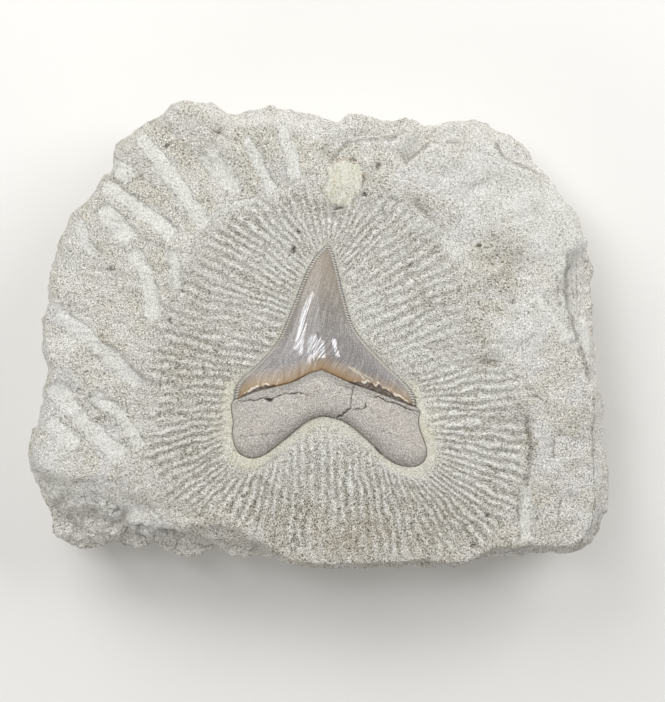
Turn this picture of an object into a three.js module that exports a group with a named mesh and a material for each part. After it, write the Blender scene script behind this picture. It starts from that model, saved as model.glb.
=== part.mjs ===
// A fossil shark tooth, still set in the slab of pale sandy stone that it was found in.
// The stone round the tooth has been scratched away in a fan of close, narrow furrows.
// Millimetres. The slab lies on its flat back: +Z rises out of the worked face, and +Y runs
// from the tooth's root to its tip. The origin is on the back, under the middle of the slab.
import * as THREE from "three";
import { ImprovedNoise } from "three/addons/math/ImprovedNoise.js";

// Driving dimensions
const slabLength = 187.5; // along X
const slabWidth = 151; // along Y
const faceHeight = 38; // from the back to the worked face beside the tooth
const toothOrigin = new THREE.Vector2(1, -11.5); // the peak of the line where the enamel ends
const fitGap = 0.35; // between the tooth and its bed
const furrowCount = 112; // round the whole fan
const furrowDepth = 0.9; // from the top of a ridge to the bottom of a furrow
const dishDepth = 1.3; // of the furrowed ground below the face round it
const waistHeight = 16; // where the slab's sides begin to draw in faster towards the back

const { lerp, smoothstep, euclideanModulo, radToDeg } = THREE.MathUtils;

// ---------------------------------------------------------------- small helpers

const perlin = new ImprovedNoise();

// Smooth lumps of a given size, from -1 to 1
function lumps(x, y, z, size) {
  return perlin.noise(x / size, y / size, z / size);
}

const noWay = new THREE.Vector2();

function vectors(points) {
  return points.map(([x, y]) => new THREE.Vector2(x, y));
}

function openCurve(points) {
  return new THREE.SplineCurve(vectors(points));
}

// A closed run of even steps along a smooth curve through some points
function closedLoop(points, steps) {
  const corners = points.map(([x, y]) => new THREE.Vector3(x, y, 0));
  const curve = new THREE.CatmullRomCurve3(corners, true);
  return curve.getSpacedPoints(steps).slice(0, steps).map(({ x, y }) => new THREE.Vector2(x, y));
}

// Scales and moves a loop so that it just fills width by height about the origin
function fillBox(loop, width, height) {
  const box = new THREE.Box2().setFromPoints(loop);
  const size = box.getSize(new THREE.Vector2());
  const centre = box.getCenter(new THREE.Vector2());
  const scale = new THREE.Vector2(width / size.x, height / size.y);
  return loop.map((p) => p.clone().sub(centre).multiply(scale));
}

// Outward direction at each point of an anticlockwise loop
function outwardOf(loop) {
  return loop.map((_, i) => {
    const before = loop[(i + loop.length - 1) % loop.length];
    const after = loop[(i + 1) % loop.length];
    return new THREE.Vector2(after.y - before.y, before.x - after.x).normalize();
  });
}

// Distance from a place to a loop round it, along a direction
function reachOf(loop, place, direction) {
  let reach = 0;
  loop.forEach((a, i) => {
    const side = loop[(i + 1) % loop.length].clone().sub(a);
    const turn = direction.cross(side);
    if (turn === 0) return;
    const offset = a.clone().sub(place);
    const share = offset.cross(direction) / turn;
    if (share >= 0 && share <= 1) reach = Math.max(reach, offset.cross(side) / turn);
  });
  return reach;
}

// A value that changes smoothly round the slab, from stations of [degrees, value]
function roundSlab(stations, degrees) {
  const last = stations.findLastIndex(([station]) => station <= degrees);
  const [from, low] = stations.at(last);
  const [to, high] = stations[(last + 1) % stations.length];
  const span = euclideanModulo(to - from, 360);
  return lerp(low, high, smoothstep(euclideanModulo(degrees - from, 360), 0, span));
}

// Faces of the strip between two closed rings. Seen from outside, the second ring runs
// anticlockwise round the first, or hangs below it. steps says which step of the first ring
// each point of the second lies beside.
function strip(inner, outer, steps = [...outer.keys()]) {
  const faces = [];
  let at = Math.ceil(steps[0] - 0.5);
  outer.forEach((here, i) => {
    const next = outer[(i + 1) % outer.length];
    const until = steps[i + 1] ?? steps[0] + inner.length;
    faces.push(inner[at % inner.length], here, next);
    for (; at + 0.5 < until; at++) {
      faces.push(inner[at % inner.length], next, inner[(at + 1) % inner.length]);
    }
  });
  return faces;
}

function turnedOver(faces) {
  return faces.map((_, i) => faces[i - 2 * (i % 3) + 2]);
}

function meshOf(name, points, faces, look) {
  const geometry = new THREE.BufferGeometry().setFromPoints(points);
  geometry.setIndex(faces);
  geometry.computeVertexNormals();
  const mesh = new THREE.Mesh(geometry, new THREE.MeshStandardMaterial(look));
  mesh.name = name;
  return mesh;
}

// ---------------------------------------------------------------- tooth

// Outline of the tooth about its own origin
const leftEdge = openCurve([
  [1.8, 40.5], [-0.6, 38], [-2.8, 35.4], [-4.7, 32], [-6.6, 27.5], [-9.9, 18.8], [-13.4, 10.6],
  [-16.2, 6.4], [-21.8, 0.5], [-25.1, -2.3], [-27.3, -5.4], [-28.1, -9.8],
]);
const rightEdge = openCurve([
  [1.8, 40.5], [3.4, 37.6], [4.3, 34.6], [6.1, 26.6], [8.6, 17.2], [10.6, 12.6], [13.8, 8.4],
  [21, 0.9], [25.1, -2.9], [28.1, -6.3], [29.6, -9.4], [29.9, -12],
]);
const enamelLine = openCurve([
  [-28.1, -9.8], [-21, -6.8], [-10, -4.2], [-3.6, -1], [0, 0], [4, -1.9], [9.5, -4.4],
  [16.5, -6.8], [29.9, -12],
]);
const leftRootSide = openCurve([
  [-28.1, -9.8], [-29, -11.2], [-28.9, -14.4], [-28.4, -17.2], [-28.8, -20.4], [-28.2, -23.8],
  [-27, -26.4],
]);
const rightRootSide = openCurve([
  [29.9, -12], [31.3, -13.4], [30.9, -16.6], [31.5, -19.7], [32.8, -23], [33.6, -26.6],
  [32.8, -29.2],
]);
const rootBase = openCurve([
  [-27, -26.4], [-25, -27.8], [-22.4, -28.4], [-19.8, -27.9], [-16.4, -25.9], [-9.9, -20.6],
  [-5.8, -17.2], [-2.6, -15.5], [0.6, -14.9], [3.9, -15.5], [7.8, -17], [12.4, -20.6],
  [17.7, -25.5], [20.6, -28.4], [24, -30.3], [27.8, -31.2], [30.8, -30.7], [32.8, -29.2],
]);

const crownRows = 17;
const rootRows = 7;
const toothColumns = 18;
const crownRim = 0.3; // height of the cutting edges above the worked face
const rootRim = -0.6; // height of the root's edge
const edgeDepth = -0.6; // of the back of the cutting edges

// A point of the crown, u across from the left edge and v down from the tip
function crownPlace(u, v) {
  const across = leftEdge.getPointAt(v).lerp(rightEdge.getPointAt(v), u);
  const straight = leftEdge.getPointAt(1).lerp(rightEdge.getPointAt(1), u);
  const arch = enamelLine.getPointAt(u).sub(straight);
  return across.addScaledVector(arch, v ** 1.5);
}

// A point of the root, u across and v down from the enamel line
function rootPlace(u, v) {
  const sides = (at) => leftRootSide.getPointAt(at).lerp(rightRootSide.getPointAt(at), u);
  const down = enamelLine.getPointAt(u).lerp(rootBase.getPointAt(u), v);
  return sides(v).add(down).sub(sides(0).lerp(sides(1), v));
}

// Heights about the worked face in one row across: front and back at the rim, how much more
// each swells in the middle, and how boxy that swelling is
function crownSection(v) {
  return {
    front: crownRim,
    swell: lerp(0.6, 3.1, v),
    back: edgeDepth,
    belly: lerp(1, 6.5, v),
    boxy: 2 + 3 * v ** 4,
  };
}

function rootSection(v) {
  const body = Math.sqrt(1 - v ** 4);
  const shoulder = smoothstep(v, 0, 0.2);
  return {
    front: lerp(crownRim, rootRim, shoulder),
    swell: lerp(0.4, 3.4, body),
    back: lerp(edgeDepth, -3, shoulder),
    belly: lerp(2.4, 7.6, body),
    boxy: 5,
  };
}

function toothRow(place, section, down) {
  const places = Array.from({ length: toothColumns + 1 }, (_, i) =>
    place(i / toothColumns, down).add(toothOrigin),
  );
  return { places, section: section(down) };
}

// Rows from the tip, which is a row of one place, to the base of the root
const toothRows = [
  { places: [leftEdge.getPointAt(0).add(toothOrigin)], section: crownSection(0) },
  ...Array.from({ length: crownRows }, (_, j) => toothRow(crownPlace, crownSection, (j + 1) / crownRows)),
  ...Array.from({ length: rootRows }, (_, j) => toothRow(rootPlace, rootSection, (j + 1) / rootRows)),
];

// The outline of some rows as one anticlockwise loop: tip, left ends, base row, right ends
function outlineOf([tip, ...rows]) {
  const left = rows.map((row) => row[0]);
  const right = rows.map((row) => row.at(-1));
  return [tip[0], ...left, ...rows.at(-1).slice(1, -1), ...right.reverse()];
}

const toothOutline = outlineOf(toothRows.map(({ places }) => places));
const toothOutward = new Map(outwardOf(toothOutline).map((way, i) => [toothOutline[i], way]));

// Adds one side of the tooth to some points, with its rim moved outwards by grow, and gives back
// its rows of point numbers. heightOf gives a height from a row's section and the swelling there.
function addSheet(points, grow, heightOf) {
  return toothRows.map(({ places, section }) =>
    places.map((place, i) => {
      const across = Math.abs((2 * i) / toothColumns - 1);
      const swelling = (1 - across ** section.boxy) ** 0.6;
      const { x, y } = place.clone().addScaledVector(toothOutward.get(place) ?? noWay, grow);
      return points.push(new THREE.Vector3(x, y, faceHeight + heightOf(section, swelling))) - 1;
    }),
  );
}

// Faces between the rows of one side, turned up
function sheetFaces([tip, ...rows]) {
  const faces = [];
  for (let i = 0; i < toothColumns; i++) {
    faces.push(tip[0], rows[0][i], rows[0][i + 1]);
    for (let j = 0; j + 1 < rows.length; j++) {
      faces.push(rows[j][i], rows[j + 1][i], rows[j + 1][i + 1]);
      faces.push(rows[j][i], rows[j + 1][i + 1], rows[j][i + 1]);
    }
  }
  return faces;
}

function toothMesh() {
  const points = [];
  const front = addSheet(points, 0, ({ front, swell }, swelling) => front + swell * swelling);
  const back = addSheet(points, 0, ({ back, belly }, swelling) => back - belly * swelling);
  const faces = [
    ...sheetFaces(front),
    ...strip(outlineOf(front), outlineOf(back)),
    ...turnedOver(sheetFaces(back)),
  ];
  return meshOf("shark_tooth", points, faces, { color: 0x98928c, roughness: 0.35, metalness: 0 });
}

// ---------------------------------------------------------------- slab

// Widest outline of the slab, anticlockwise from the middle of its right side
const slabOutline = fillBox(
  closedLoop(
    [
      [89.6, 0], [89.2, 8], [88.6, 16], [89, 23], [86, 31.5], [82.5, 38.5], [78.5, 45],
      [74, 51.5], [69, 58], [64, 63.5], [60, 65.5], [56, 67], [48.5, 69.5], [44, 69.5],
      [39, 67.5], [34, 68], [29, 70], [24, 69], [18, 70.5], [10.5, 72], [6, 69], [0, 70.5],
      [-6, 71.5], [-13, 73.3], [-19.5, 73], [-25, 71.8], [-30, 72.2], [-36, 74.7], [-44, 75.5],
      [-50.5, 72.3], [-56.5, 67.5], [-63, 63], [-66.5, 58.5], [-66.5, 53.5], [-70.5, 49.5],
      [-75, 43.5], [-80, 38.5], [-82.5, 33], [-86, 23], [-87.5, 15], [-87.8, 9.5], [-89.2, 7],
      [-89.2, -4], [-87, -13], [-88, -16.5], [-90, -24], [-93, -33.5], [-93.5, -43.5],
      [-90.5, -51.5], [-87, -61], [-84.5, -66], [-80, -69.5], [-75, -70.8], [-66.5, -69.2],
      [-59, -70.8], [-53, -69.2], [-48, -72], [-42, -72.3], [-33, -70.6], [-26, -72],
      [-18, -70.6], [-12.5, -74], [-6.5, -75.2], [13.5, -75.5], [27, -74.7], [43.5, -75.2],
      [51.5, -73.5], [60.5, -72], [71, -70.8], [84, -70.4], [87.5, -68.5], [91, -64],
      [93, -58], [94, -52], [93.7, -44], [92.2, -34], [92.3, -25], [90.5, -16], [90, -8],
    ],
    600,
  ),
  slabLength,
  slabWidth,
);

// Where the worked face ends and the broken edge begins to fall away, over the same course
const shoulderLine = closedLoop(
  [
    [86.5, -5], [83, 1.5], [79, 9], [77.5, 15.5], [79, 22], [83.5, 28], [81.5, 34], [77, 40.5],
    [73.5, 46.5], [70, 50.5], [65.5, 54], [59.5, 56.5], [57.5, 60], [51.5, 62], [45, 61.5],
    [36, 61.5], [30.5, 56.5], [29, 60.5], [29, 64.5], [22, 62.5], [10, 61.5], [5, 56], [1, 59],
    [-3, 62.5], [-7.5, 66], [-13, 68], [-23.5, 67], [-33.5, 68], [-38, 71], [-43.5, 73.5],
    [-54, 65.5], [-62, 60], [-64.5, 57.5], [-64, 52], [-72.5, 41.5], [-77, 37], [-81.5, 26],
    [-85, 14], [-87, -0.5], [-84.5, -13], [-87.5, -25], [-90.5, -34], [-90, -41], [-84, -46],
    [-78, -48.5], [-71, -46], [-65, -47.5], [-60, -49.5], [-55.5, -54], [-52, -58], [-44, -62],
    [-38.5, -61], [-26, -62.5], [-21.5, -65.5], [-15.5, -68], [-11, -71.5], [2, -73.5],
    [27, -72.5], [50, -72], [55, -68.5], [64.5, -68], [83, -67], [86.5, -63.5], [88, -60],
    [88.5, -50], [87.5, -34], [88, -21], [86.5, -10],
  ],
  600,
);

// How far the broken edge has fallen where the slab is widest
const edgeDrops = [
  [0, 9], [12, 10], [24, 4], [40, 4], [50, 7], [70, 5], [90, 4], [110, 5], [130, 5], [150, 3],
  [180, 3], [200, 5], [212, 8], [219, 13], [234, 11], [250, 7], [270, 4], [300, 5], [318, 9], [332, 5],
  [350, 5],
];

// Shallow scrapes outside the fan: [x, y] of one end, [x, y] of the other, half width, depth
const scrapes = [
  [-69, 47.5, -47, 33.5, 5, 1.2], [-37, 55.5, -25.5, 44.5, 5, 1], [-22.5, 60.5, -14, 47.5, 5, 1],
  [-61, 32.5, -54.5, 11, 6, 0.9], [-83, 1.5, -57.5, -17.5, 6, 1.1],
  [-81.5, -16.5, -64.5, -38.5, 6, 1.2], [66.5, -27.5, 65, -62.5, 4, 1.2],
].map(([x, y, farX, farY, reach, depth]) => ({
  line: new THREE.Line3(new THREE.Vector3(x, y, 0), new THREE.Vector3(farX, farY, 0)),
  reach,
  depth,
}));

// Furrows that set the fan: [x, y] on the tooth's outline, then [x, y] of the far end,
// anticlockwise from the tip
const fanFurrows = [
  [2.6, 28.8, 2.2, 44], [-2, 23.4, -18.2, 43.5], [-6.4, 14.1, -36.5, 32.3],
  [-9.9, 5.1, -45, 14.7], [-18.2, -9, -54, -1.3], [-27.2, -19.5, -54, -17.3],
  [-28.1, -25, -53.4, -27.5], [-27.8, -32.3, -55.4, -40.3], [-26.5, -37.8, -49.3, -53],
  [-23, -40, -33.3, -57], [-16.3, -37.8, -24, -61.5], [-8.6, -32, -11.5, -68],
  [1.6, -26.6, 2, -71], [11.8, -31, 15.7, -71], [24.6, -41.6, 38, -71], [29.8, -42.6, 51.5, -68],
  [33.6, -40.6, 62.7, -57], [34.2, -36.5, 65.6, -43], [32, -29.1, 66.6, -31.4],
  [30.7, -22.7, 64.3, -21.8], [28.5, -17.3, 60.5, -10.2], [22, -10.6, 51, 0.6],
  [14.7, -3.2, 48.3, 12.5], [9.6, 5.4, 43.5, 23], [7, 15, 36.2, 34.9], [5.8, 20.5, 27.5, 42.9],
  [4.5, 25.3, 16.3, 45.1],
].map(([x, y, farX, farY]) => ({
  start: outlineStep(new THREE.Vector2(x, y)),
  end: new THREE.Vector2(farX, farY),
}));

// The step of the tooth's outline nearest to a place
function outlineStep(place) {
  const distances = toothOutline.map((p) => p.distanceTo(place));
  return distances.indexOf(Math.min(...distances));
}

// A place part of the way between two steps of the tooth's outline
function outlinePlace(step) {
  const count = toothOutline.length;
  const before = toothOutline[Math.floor(step) % count];
  const after = toothOutline[(Math.floor(step) + 1) % count];
  return before.clone().lerp(after, step % 1);
}

// Two rays to each furrow, evenly spread between the furrows that set the fan
function fanRays() {
  const nextOf = (i) => fanFurrows[(i + 1) % fanFurrows.length];
  const gaps = fanFurrows.map(({ end }, i) => end.distanceTo(nextOf(i).end));
  const rayGap = gaps.reduce((sum, gap) => sum + gap, 0) / (2 * furrowCount);
  const rays = [];
  let passed = 0;
  let step = fanFurrows[0].start;
  fanFurrows.forEach(({ start, end }, i) => {
    const steps = euclideanModulo(nextOf(i).start - start, toothOutline.length);
    while (rays.length * rayGap < passed + gaps[i] - 1e-9) {
      const share = (rays.length * rayGap - passed) / gaps[i];
      const fromStep = step + share * steps;
      const from = outlinePlace(fromStep);
      const toEnd = end.clone().lerp(nextOf(i).end, share).sub(from);
      rays.push({ fromStep, from, direction: toEnd.clone().normalize(), length: toEnd.length() });
    }
    passed += gaps[i];
    step += steps;
  });
  return rays;
}

// How much the scrapes take off at a point
function scrapedAway(x, y) {
  const here = new THREE.Vector3(x, y, 0);
  const cuts = scrapes.map(({ line, reach, depth }) => {
    const nearest = line.closestPointToPoint(here, true, new THREE.Vector3());
    return depth * (1 - smoothstep(nearest.distanceTo(here), 0, reach));
  });
  return Math.max(...cuts);
}

// Height of the worked face before the furrows; past is how far beyond their ends a point lies
function faceAt(x, y, past) {
  const dish = dishDepth * smoothstep(past, -5, 2);
  const roll = 0.9 * lumps(x, y, 3, 34) + 0.9 * lumps(x, y, 9, 13);
  return faceHeight + dish + roll * smoothstep(past, -25, 8) - scrapedAway(x, y);
}

// One ray's points, from the tooth over the face and the broken edge to the back.
// side is 1 for a ray along a ridge and -1 for one along a furrow.
function rayPoints({ from, direction, length }, side) {
  const shoulder = reachOf(shoulderLine, from, direction);
  const rim = from.clone().addScaledVector(direction, reachOf(slabOutline, from, direction));
  const degrees = euclideanModulo(radToDeg(rim.angle()), 360);
  const lip = lerp(2, 4.2, smoothstep(-direction.y, -0.2, 0.6)); // smooth stone beside the tooth
  const ragged = 4 * lumps(rim.x, rim.y, 0, 3);
  const furrowStart = lip + 1.5;
  const furrowEnd = Math.min(length + ragged, shoulder - 2.5);
  const outsideStart = furrowEnd + 1.6;
  const onFace = (distance, depth) => {
    const { x, y } = from.clone().addScaledVector(direction, distance);
    return new THREE.Vector3(x, y, faceAt(x, y, distance - furrowEnd) + (side * depth) / 2);
  };
  const onEdge = (inset, z) => {
    const { x, y } = rim.clone().multiplyScalar(1 - inset / rim.length());
    return new THREE.Vector3(x, y, z);
  };
  const rough = (z) => 1.6 * lumps(rim.x, rim.y, z, 12) + 1.1 * lumps(rim.x, rim.y, z, 5);
  const outside = [0, 0.2, 0.4, 0.6, 0.8, 1].map((share) => lerp(outsideStart, shoulder, share));
  const drop = roundSlab(edgeDrops, degrees);
  return [
    onFace(lip / 2, 0),
    onFace(lip, 0),
    onFace(furrowStart, furrowDepth),
    onFace((furrowStart + furrowEnd) / 2, furrowDepth),
    onFace(furrowEnd, 0.8 * furrowDepth),
    ...outside.map((distance) => onFace(distance, 0)),
    onEdge(0, faceHeight - drop + 0.6 * rough(faceHeight)),
    onEdge(2.5 + rough(waistHeight), waistHeight),
    onEdge(6 + rough(0), 0),
  ];
}

// The slab: rings of points from beside the tooth to the back, and the tooth's bed inside them
function slabMesh() {
  const rays = fanRays();
  const columns = rays.map((ray, i) => rayPoints(ray, i % 2 ? 1 : -1));
  const points = columns.flat();
  const ringCount = columns[0].length;
  const rings = Array.from({ length: ringCount }, (_, r) => columns.map((_, i) => i * ringCount + r));
  const bed = addSheet(points, fitGap, ({ back, belly }, swelling) => back - belly * swelling - fitGap);
  const bedRim = outlineOf(bed);
  const mouth = bedRim.map((i) => points.push(points[i].clone().setZ(faceHeight)) - 1);
  const backRim = rings.at(-1);
  const backMiddle = points.push(new THREE.Vector3()) - 1;
  const faces = [
    ...strip(mouth, rings[0], rays.map(({ fromStep }) => fromStep)),
    ...rings.slice(1).flatMap((ring, r) => strip(rings[r], ring)),
    ...backRim.flatMap((here, i) => [backMiddle, backRim[(i + 1) % backRim.length], here]),
    ...strip(bedRim, mouth),
    ...sheetFaces(bed),
  ];
  return meshOf("stone_slab", points, faces, { color: 0xc6c2b8, roughness: 0.95, metalness: 0 });
}

// ---------------------------------------------------------------- assembly

const fossil = new THREE.Group();
fossil.add(slabMesh(), toothMesh());

export default fossil;
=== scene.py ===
import math

import bmesh
import bpy
import numpy as np
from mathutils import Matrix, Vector, noise
from mathutils.bvhtree import BVHTree


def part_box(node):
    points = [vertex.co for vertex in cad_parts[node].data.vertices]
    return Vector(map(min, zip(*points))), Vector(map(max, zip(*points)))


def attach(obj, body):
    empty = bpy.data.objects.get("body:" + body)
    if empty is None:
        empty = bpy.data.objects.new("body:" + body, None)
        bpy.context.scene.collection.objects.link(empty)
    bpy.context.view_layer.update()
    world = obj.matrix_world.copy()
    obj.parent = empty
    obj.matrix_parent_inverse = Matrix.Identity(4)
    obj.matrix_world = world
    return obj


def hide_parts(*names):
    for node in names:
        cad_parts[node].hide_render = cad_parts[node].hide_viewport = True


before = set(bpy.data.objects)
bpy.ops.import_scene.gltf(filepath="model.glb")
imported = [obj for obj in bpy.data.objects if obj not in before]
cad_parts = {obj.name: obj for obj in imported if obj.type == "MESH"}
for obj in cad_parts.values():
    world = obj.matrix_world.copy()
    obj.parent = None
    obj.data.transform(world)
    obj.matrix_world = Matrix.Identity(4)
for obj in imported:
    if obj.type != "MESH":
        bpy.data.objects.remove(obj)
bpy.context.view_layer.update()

# A fossil shark tooth in the slab of sandy stone that it was found in, lying on its back.
# Shapes are worked out in millimetres, in the frame's own axes, and made in metres.
mm = 0.001


# Small helpers: curves, lumps and soft edges.

def smoothCurve(points, stepsEach=24):
    # a smooth curve through some points, as a function of the share of its length
    p = np.array(points, float)
    before = np.vstack([p[:1], p[:-2]])
    after = np.vstack([p[2:], p[-1:]])
    runs = []
    for p0, p1, p2, p3 in zip(before, p[:-1], p[1:], after):
        t = np.linspace(0, 1, stepsEach, endpoint=False)[:, None]
        leave, arrive = (p2 - p0) / 2, (p3 - p1) / 2
        cubic = (2 * p1 - 2 * p2 + leave + arrive) * t**3
        square = (3 * p2 - 3 * p1 - 2 * leave - arrive) * t**2
        runs.append(cubic + square + leave * t + p1)
    run = np.vstack(runs + [p[-1:]])
    share = np.concatenate([[0], np.cumsum(np.hypot(*np.diff(run, axis=0).T))])
    share /= share[-1]

    def at(t):
        return np.stack([np.interp(t, share, run[:, axis]) for axis in (0, 1)], -1)
    return at


def soft(x, low, high):
    t = np.clip((x - low) / (high - low), 0, 1)
    return t * t * (3 - 2 * t)


def blend(a, b, share):
    return a + (b - a) * share


def lumps(places, size, seed=0):
    # smooth lumps of one size, from about -1 to 1
    scaled = np.asarray(places, float) / size
    flat = scaled.reshape(-1, scaled.shape[-1])
    high = flat[:, 2] if flat.shape[1] > 2 else np.zeros(len(flat))
    heights = [noise.noise((x + 31.7 * seed, y, z)) for x, y, z in zip(flat[:, 0], flat[:, 1], high)]
    return 1.6 * np.array(heights).reshape(scaled.shape[:-1])


scatter = np.array([[12.9, 4.1, 7.7], [78.2, 9.3, 3.9], [37.7, 5.7, 1.3]])  # gives each cell its chances


def scoops(places, size, seed=0):
    # shallow scoops of one size with sharp ridges between them, from about 0 to 1
    flat = (places / size + 5.3 * seed).reshape(-1, 3)
    cells = [noise.voronoi(place) for place in flat.tolist()]
    distances = np.array([cell[0] for cell in cells])
    centres = np.array([cell[1] for cell in cells])
    chance = np.modf(np.abs(np.sin(centres @ scatter) * 437.5))[0]
    tilted = ((flat[:, None] - centres) * (chance - 0.5)).sum(axis=2)
    scooped = distances**2 + 0.8 * tilted + 0.25 * chance[..., 0]
    return scooped.min(axis=1).reshape(places.shape[:-1])


def wavering(places, far, size, seed):
    # places moved a little way to and fro, so that a straight line through them wavers
    return places + far * np.stack([lumps(places, size, seed), lumps(places, size, seed + 1)], -1)


def fromLine(places, line, past=0):
    # how far each place is from a line, how far along the line that is, and its side: left is 1;
    # past is how far the line runs on, straight, at both of its ends
    line = np.array(line, float)
    first, last = line[0] - line[1], line[-1] - line[-2]
    line[0] += past * first / np.hypot(*first)
    line[-1] += past * last / np.hypot(*last)
    flat = places.reshape(-1, 2)
    nearest = np.full(len(flat), np.inf)
    along = np.zeros(len(flat))
    side = np.ones(len(flat))
    passed = 0
    for start, end in zip(line[:-1], line[1:]):
        way = end - start
        length = np.hypot(*way)
        offset = flat - start
        share = np.clip(offset @ way / length**2, 0, 1)
        distance = np.hypot(*(offset - share[:, None] * way).T)
        closer = distance < nearest
        nearest[closer] = distance[closer]
        along[closer] = passed + length * share[closer]
        side[closer] = np.sign(way[0] * offset[:, 1] - way[1] * offset[:, 0])[closer]
        passed += length
    shape = places.shape[:-1]
    return nearest.reshape(shape), along.reshape(shape) - past, side.reshape(shape), passed - 2 * past


def spot(places, x, y, wide, high, turn=0):
    # a soft round or long spot, 1 in its middle
    c, s = math.cos(math.radians(turn)), math.sin(math.radians(turn))
    dx, dy = places[..., 0] - x, places[..., 1] - y
    return np.exp(-(((c * dx + s * dy) / wide) ** 2 + ((c * dy - s * dx) / high) ** 2))


def spots(places, areas):
    # soft spots together, from [x, y, half width, half height, turned by, how strong] of each
    return sum(strong * spot(places, *area) for *area, strong in areas)


# Meshes, node trees and materials are made with these.

def placed(name, data):
    thing = bpy.data.objects.new(name, data)
    bpy.context.collection.objects.link(thing)
    return thing


def makePiece(name, places, faces, tones, edges=()):
    # a mesh object from millimetres, with one named number at each point for each tone
    mesh = bpy.data.meshes.new(name)
    mesh.from_pydata((places * mm).tolist(), list(edges), faces)
    mesh.shade_smooth()
    for tone, values in tones.items():
        mesh.attributes.new(tone, "FLOAT", "POINT").data.foreach_set("value", values.astype(np.float32))
    return placed(name, mesh)


def gridFaces(numbers, around=False):
    # faces over rows of point numbers; the rows close on themselves where they go around
    if around:
        numbers = np.hstack([numbers, numbers[:, :1]])
    corners = (numbers[:-1, :-1], numbers[1:, :-1], numbers[1:, 1:], numbers[:-1, 1:])
    return np.stack(corners, -1).reshape(-1, 4).tolist()


def put(tree, kind, inputs=(), output=0, **settings):
    # adds a node, sets it up, and gives back one of its outputs
    node = tree.nodes.new(kind)
    for name, value in settings.items():
        setattr(node, name, value)
    for key, value in dict(inputs).items():
        if isinstance(value, bpy.types.NodeSocket):
            tree.links.new(value, node.inputs[key])
        else:
            node.inputs[key].default_value = value
    return node.outputs[output]


def calc(tree, operation, *values):
    return put(tree, "ShaderNodeMath", enumerate(values), operation=operation)


def ranged(tree, value, fromLow, fromHigh, toLow, toHigh):
    limits = {"Value": value, 1: fromLow, 2: fromHigh, 3: toLow, 4: toHigh}
    return put(tree, "ShaderNodeMapRange", limits)


def newTree(name, settings):
    # a Geometry Nodes tree with a named input for each setting, and its two end nodes
    tree = bpy.data.node_groups.new(name, "GeometryNodeTree")
    kinds = {float: "NodeSocketFloat", int: "NodeSocketInt", bpy.types.Material: "NodeSocketMaterial"}
    tree.interface.new_socket("Geometry", in_out="INPUT", socket_type="NodeSocketGeometry")
    for title, value in settings.items():
        tree.interface.new_socket(title, in_out="INPUT", socket_type=kinds[type(value)])
    tree.interface.new_socket("Geometry", in_out="OUTPUT", socket_type="NodeSocketGeometry")
    return tree, tree.nodes.new("NodeGroupInput").outputs


def endTree(tree, geometry, material):
    geometry = put(tree, "GeometryNodeRealizeInstances", {"Geometry": geometry})
    geometry = put(tree, "GeometryNodeSetMaterial", {"Geometry": geometry, "Material": material})
    tree.links.new(geometry, tree.nodes.new("NodeGroupOutput").inputs[0])


def applyTree(piece, tree, settings):
    # runs a tree on a piece and leaves the result as its plain mesh
    modifier = piece.modifiers.new(tree.name, "NODES")
    modifier.node_group = tree
    for item in tree.interface.items_tree:
        if item.in_out == "INPUT" and item.name in settings:
            modifier[item.identifier] = settings[item.name]
    depsgraph = bpy.context.evaluated_depsgraph_get()
    made = piece.evaluated_get(depsgraph)
    mesh = bpy.data.meshes.new_from_object(made, preserve_all_data_layers=True, depsgraph=depsgraph)
    piece.modifiers.clear()
    piece.data = mesh
    mesh.shade_smooth()


def paint(red, green, blue):
    # a colour from the usual 0 to 255 numbers, in the linear numbers that shaders use
    parts = [part / 255 for part in (red, green, blue)]
    return [part / 12.92 if part < 0.04045 else ((part + 0.055) / 1.055) ** 2.4 for part in parts] + [1]


class Paints:
    # a material under construction: a colour that more is laid over, and the nodes it needs

    def __init__(self, name, colour):
        self.material = bpy.data.materials.new(name)
        self.material.use_nodes = True
        self.tree = self.material.node_tree
        self.shader = self.tree.nodes["Principled BSDF"]
        self.place = put(self.tree, "ShaderNodeTexCoord", output=3)
        self.colour = put(self.tree, "ShaderNodeRGB")
        self.colour.default_value = paint(*colour)

    def tone(self, name):
        return put(self.tree, "ShaderNodeAttribute", output=2, attribute_name=name)

    def grains(self, size, detail=2.0, rough=0.5, place=None):
        # noise with lumps of one size in millimetres
        inputs = {"Vector": place or self.place, "Scale": 1 / (size * mm)}
        return put(self.tree, "ShaderNodeTexNoise", {**inputs, "Detail": detail, "Roughness": rough})

    def share(self, value, begins, full, most=1.0):
        # 0 until the value reaches begins, and most once it reaches full
        return ranged(self.tree, value, begins, full, 0.0, most)

    def lay(self, colour, *amounts):
        # lays a colour over what is there, as much as the amounts say between them
        inputs = {0: self.times(*amounts), 6: self.colour, 7: paint(*colour)}
        self.colour = put(self.tree, "ShaderNodeMix", inputs, 2, data_type="RGBA")

    def times(self, *values):
        total = values[0]
        for value in values[1:]:
            total = calc(self.tree, "MULTIPLY", total, value)
        return total

    def finish(self, roughness, bump, height, **sockets):
        # bump is its depth in millimetres
        self.tree.links.new(self.colour, self.shader.inputs["Base Color"])
        inputs = {"Strength": 1.0, "Distance": bump * mm, "Height": height}
        self.tree.links.new(put(self.tree, "ShaderNodeBump", inputs), self.shader.inputs["Normal"])
        if isinstance(roughness, bpy.types.NodeSocket):
            self.tree.links.new(roughness, self.shader.inputs["Roughness"])
        else:
            self.shader.inputs["Roughness"].default_value = roughness
        for socket, value in sockets.items():
            self.shader.inputs[socket.replace("_", " ")].default_value = value
        return self.material


# The tooth: an enamel crown with its tip up, over a forked root.

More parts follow.
